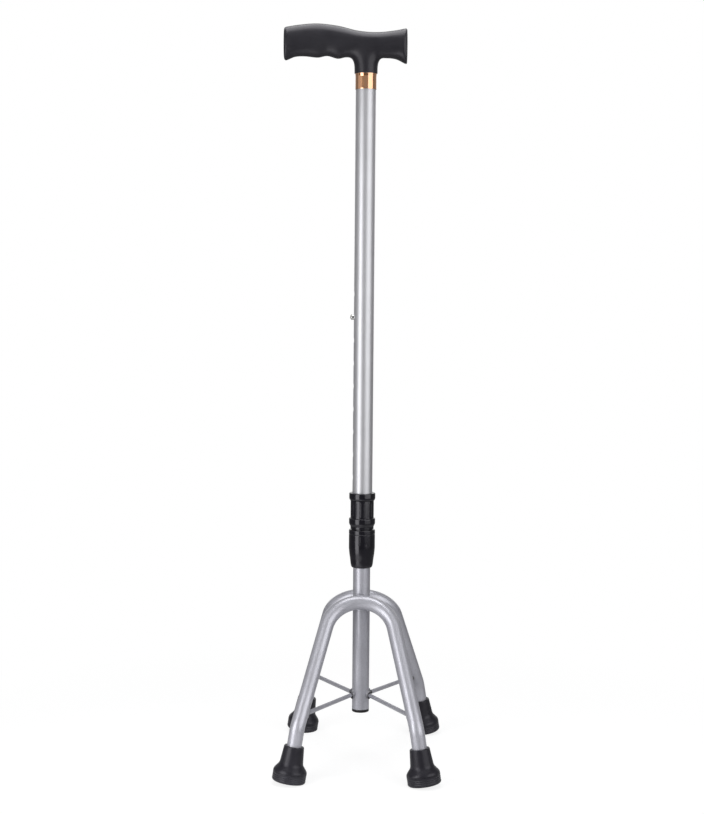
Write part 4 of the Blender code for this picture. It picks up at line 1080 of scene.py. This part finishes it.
# Collet
# A split tapered ring of natural nylon inside the nut, which the nut squeezes on the stem. It keeps the
# CAD solid, since only its edge could ever be seen.
def natural_nylon():
    """Polyamide 6, moulded and undyed. The eye gets a waxy off-white that light enters a little, yellowed in
    patches, with a fine moulded grain."""
    material, tree, place = new_finish(
        "natural_nylon", {"Subsurface Weight": 0.2, "Subsurface Radius": (0.002, 0.0015, 0.001)})
    clouds = add(tree, "TexNoise", place, 1000 / 6, 5)
    rough = add(tree, "MapRange", clouds, 0.3, 0.75, 0.35, 0.5)
    grain = add(tree, "TexNoise", place, 1000 / 0.8, 2)
    return finished(material, ("#D8D2C2", (clouds, "#C4B995")), rough, grain, 0.3, 0.00005)


refinish("lock_collet", natural_nylon())


# Lock nut
# A gloss black moulding that screws on the sleeve's spigot and closes the collet: a shoulder, a band of
# short ribs for grip, and a long smooth taper.
NUT_TOP = 0.2583
NUT_FOOT = 0.2154
NUT_SEAT = 0.2185
NUT_RADIUS = 0.0145
NUT_BORE = 0.0122
NUT_TOE_BORE = 0.0110
NUT_SHOULDER = 0.0007
NUT_GROOVE_HEIGHT = 0.2533
NUT_GROOVE = 0.0004
RIB_TOP = 0.2526
RIB_FOOT = 0.2411
RIB_COUNT = 12
RIB_PHASE = math.radians(21.5)
RIB_DEPTH = 0.00009
RIB_NOTCH = 0.15
RIB_RUN_OUT = 0.0009
RIB_ROWS_FOOT = 0.0225
RIB_ROWS, TAPER_ROWS = 48, 40
NUT_TAPER = ((0.0012, 0.0028), (0.0035, 0.0022), (0.0095, 0.0015), (0.0150, 0.0007), (0.0220, 0))


def ribs(angle):
    """Wide flat ribs with a narrow rounded groove between them."""
    return notched(angle, RIB_COUNT, RIB_DEPTH, RIB_NOTCH)[1]


taper_heights = np.linspace(NUT_TAPER[-1][0], NUT_TAPER[0][0], TAPER_ROWS)
taper = NUT_RADIUS - along(NUT_TAPER, taper_heights)
shoulder_rows = rounded([
    (NUT_BORE, NUT_TOP, 0.0003), (NUT_RADIUS - NUT_SHOULDER, NUT_TOP, 0.0004),
    (NUT_RADIUS, NUT_TOP - NUT_SHOULDER, 0.0005), (NUT_RADIUS, NUT_GROOVE_HEIGHT + NUT_GROOVE, 0.0002),
    (NUT_RADIUS - NUT_GROOVE, NUT_GROOVE_HEIGHT, 0.0002),
    (NUT_RADIUS, NUT_GROOVE_HEIGHT - NUT_GROOVE, 0.0002)])
rib_rows = np.stack([np.full(RIB_ROWS, NUT_RADIUS),
                     np.linspace(RIB_TOP, NUT_FOOT + RIB_ROWS_FOOT, RIB_ROWS)], 1)
taper_rows = np.stack([taper, NUT_FOOT + taper_heights], 1)
toe_rows = rounded([
    (taper[-1] - 0.0001, NUT_FOOT + 0.0010, 0.0001), (taper[-1] - LOCK_EDGE, NUT_FOOT, 0.0005),
    (SPIGOT_BORE, NUT_FOOT, 0.0003), (SPIGOT_BORE, NUT_SEAT, 0.0002), (NUT_TOE_BORE, NUT_SEAT, 0.0002),
    (NUT_BORE, SPIGOT_FOOT, 0.0003)])
nut_profile = np.concatenate([shoulder_rows, rib_rows, taper_rows, toe_rows, shoulder_rows[:1]])
nut_inset = fluted(nut_profile, RIB_TOP, RIB_FOOT, RIB_RUN_OUT, ribs, RIB_PHASE)
nut_mesh = shell("nut_moulding", [turned(nut_profile, LOCK_COLUMNS, inset=nut_inset)])
place_piece(nut_mesh, LOCK_PLASTIC, "nut", "lock_plastic", "lock_nut")
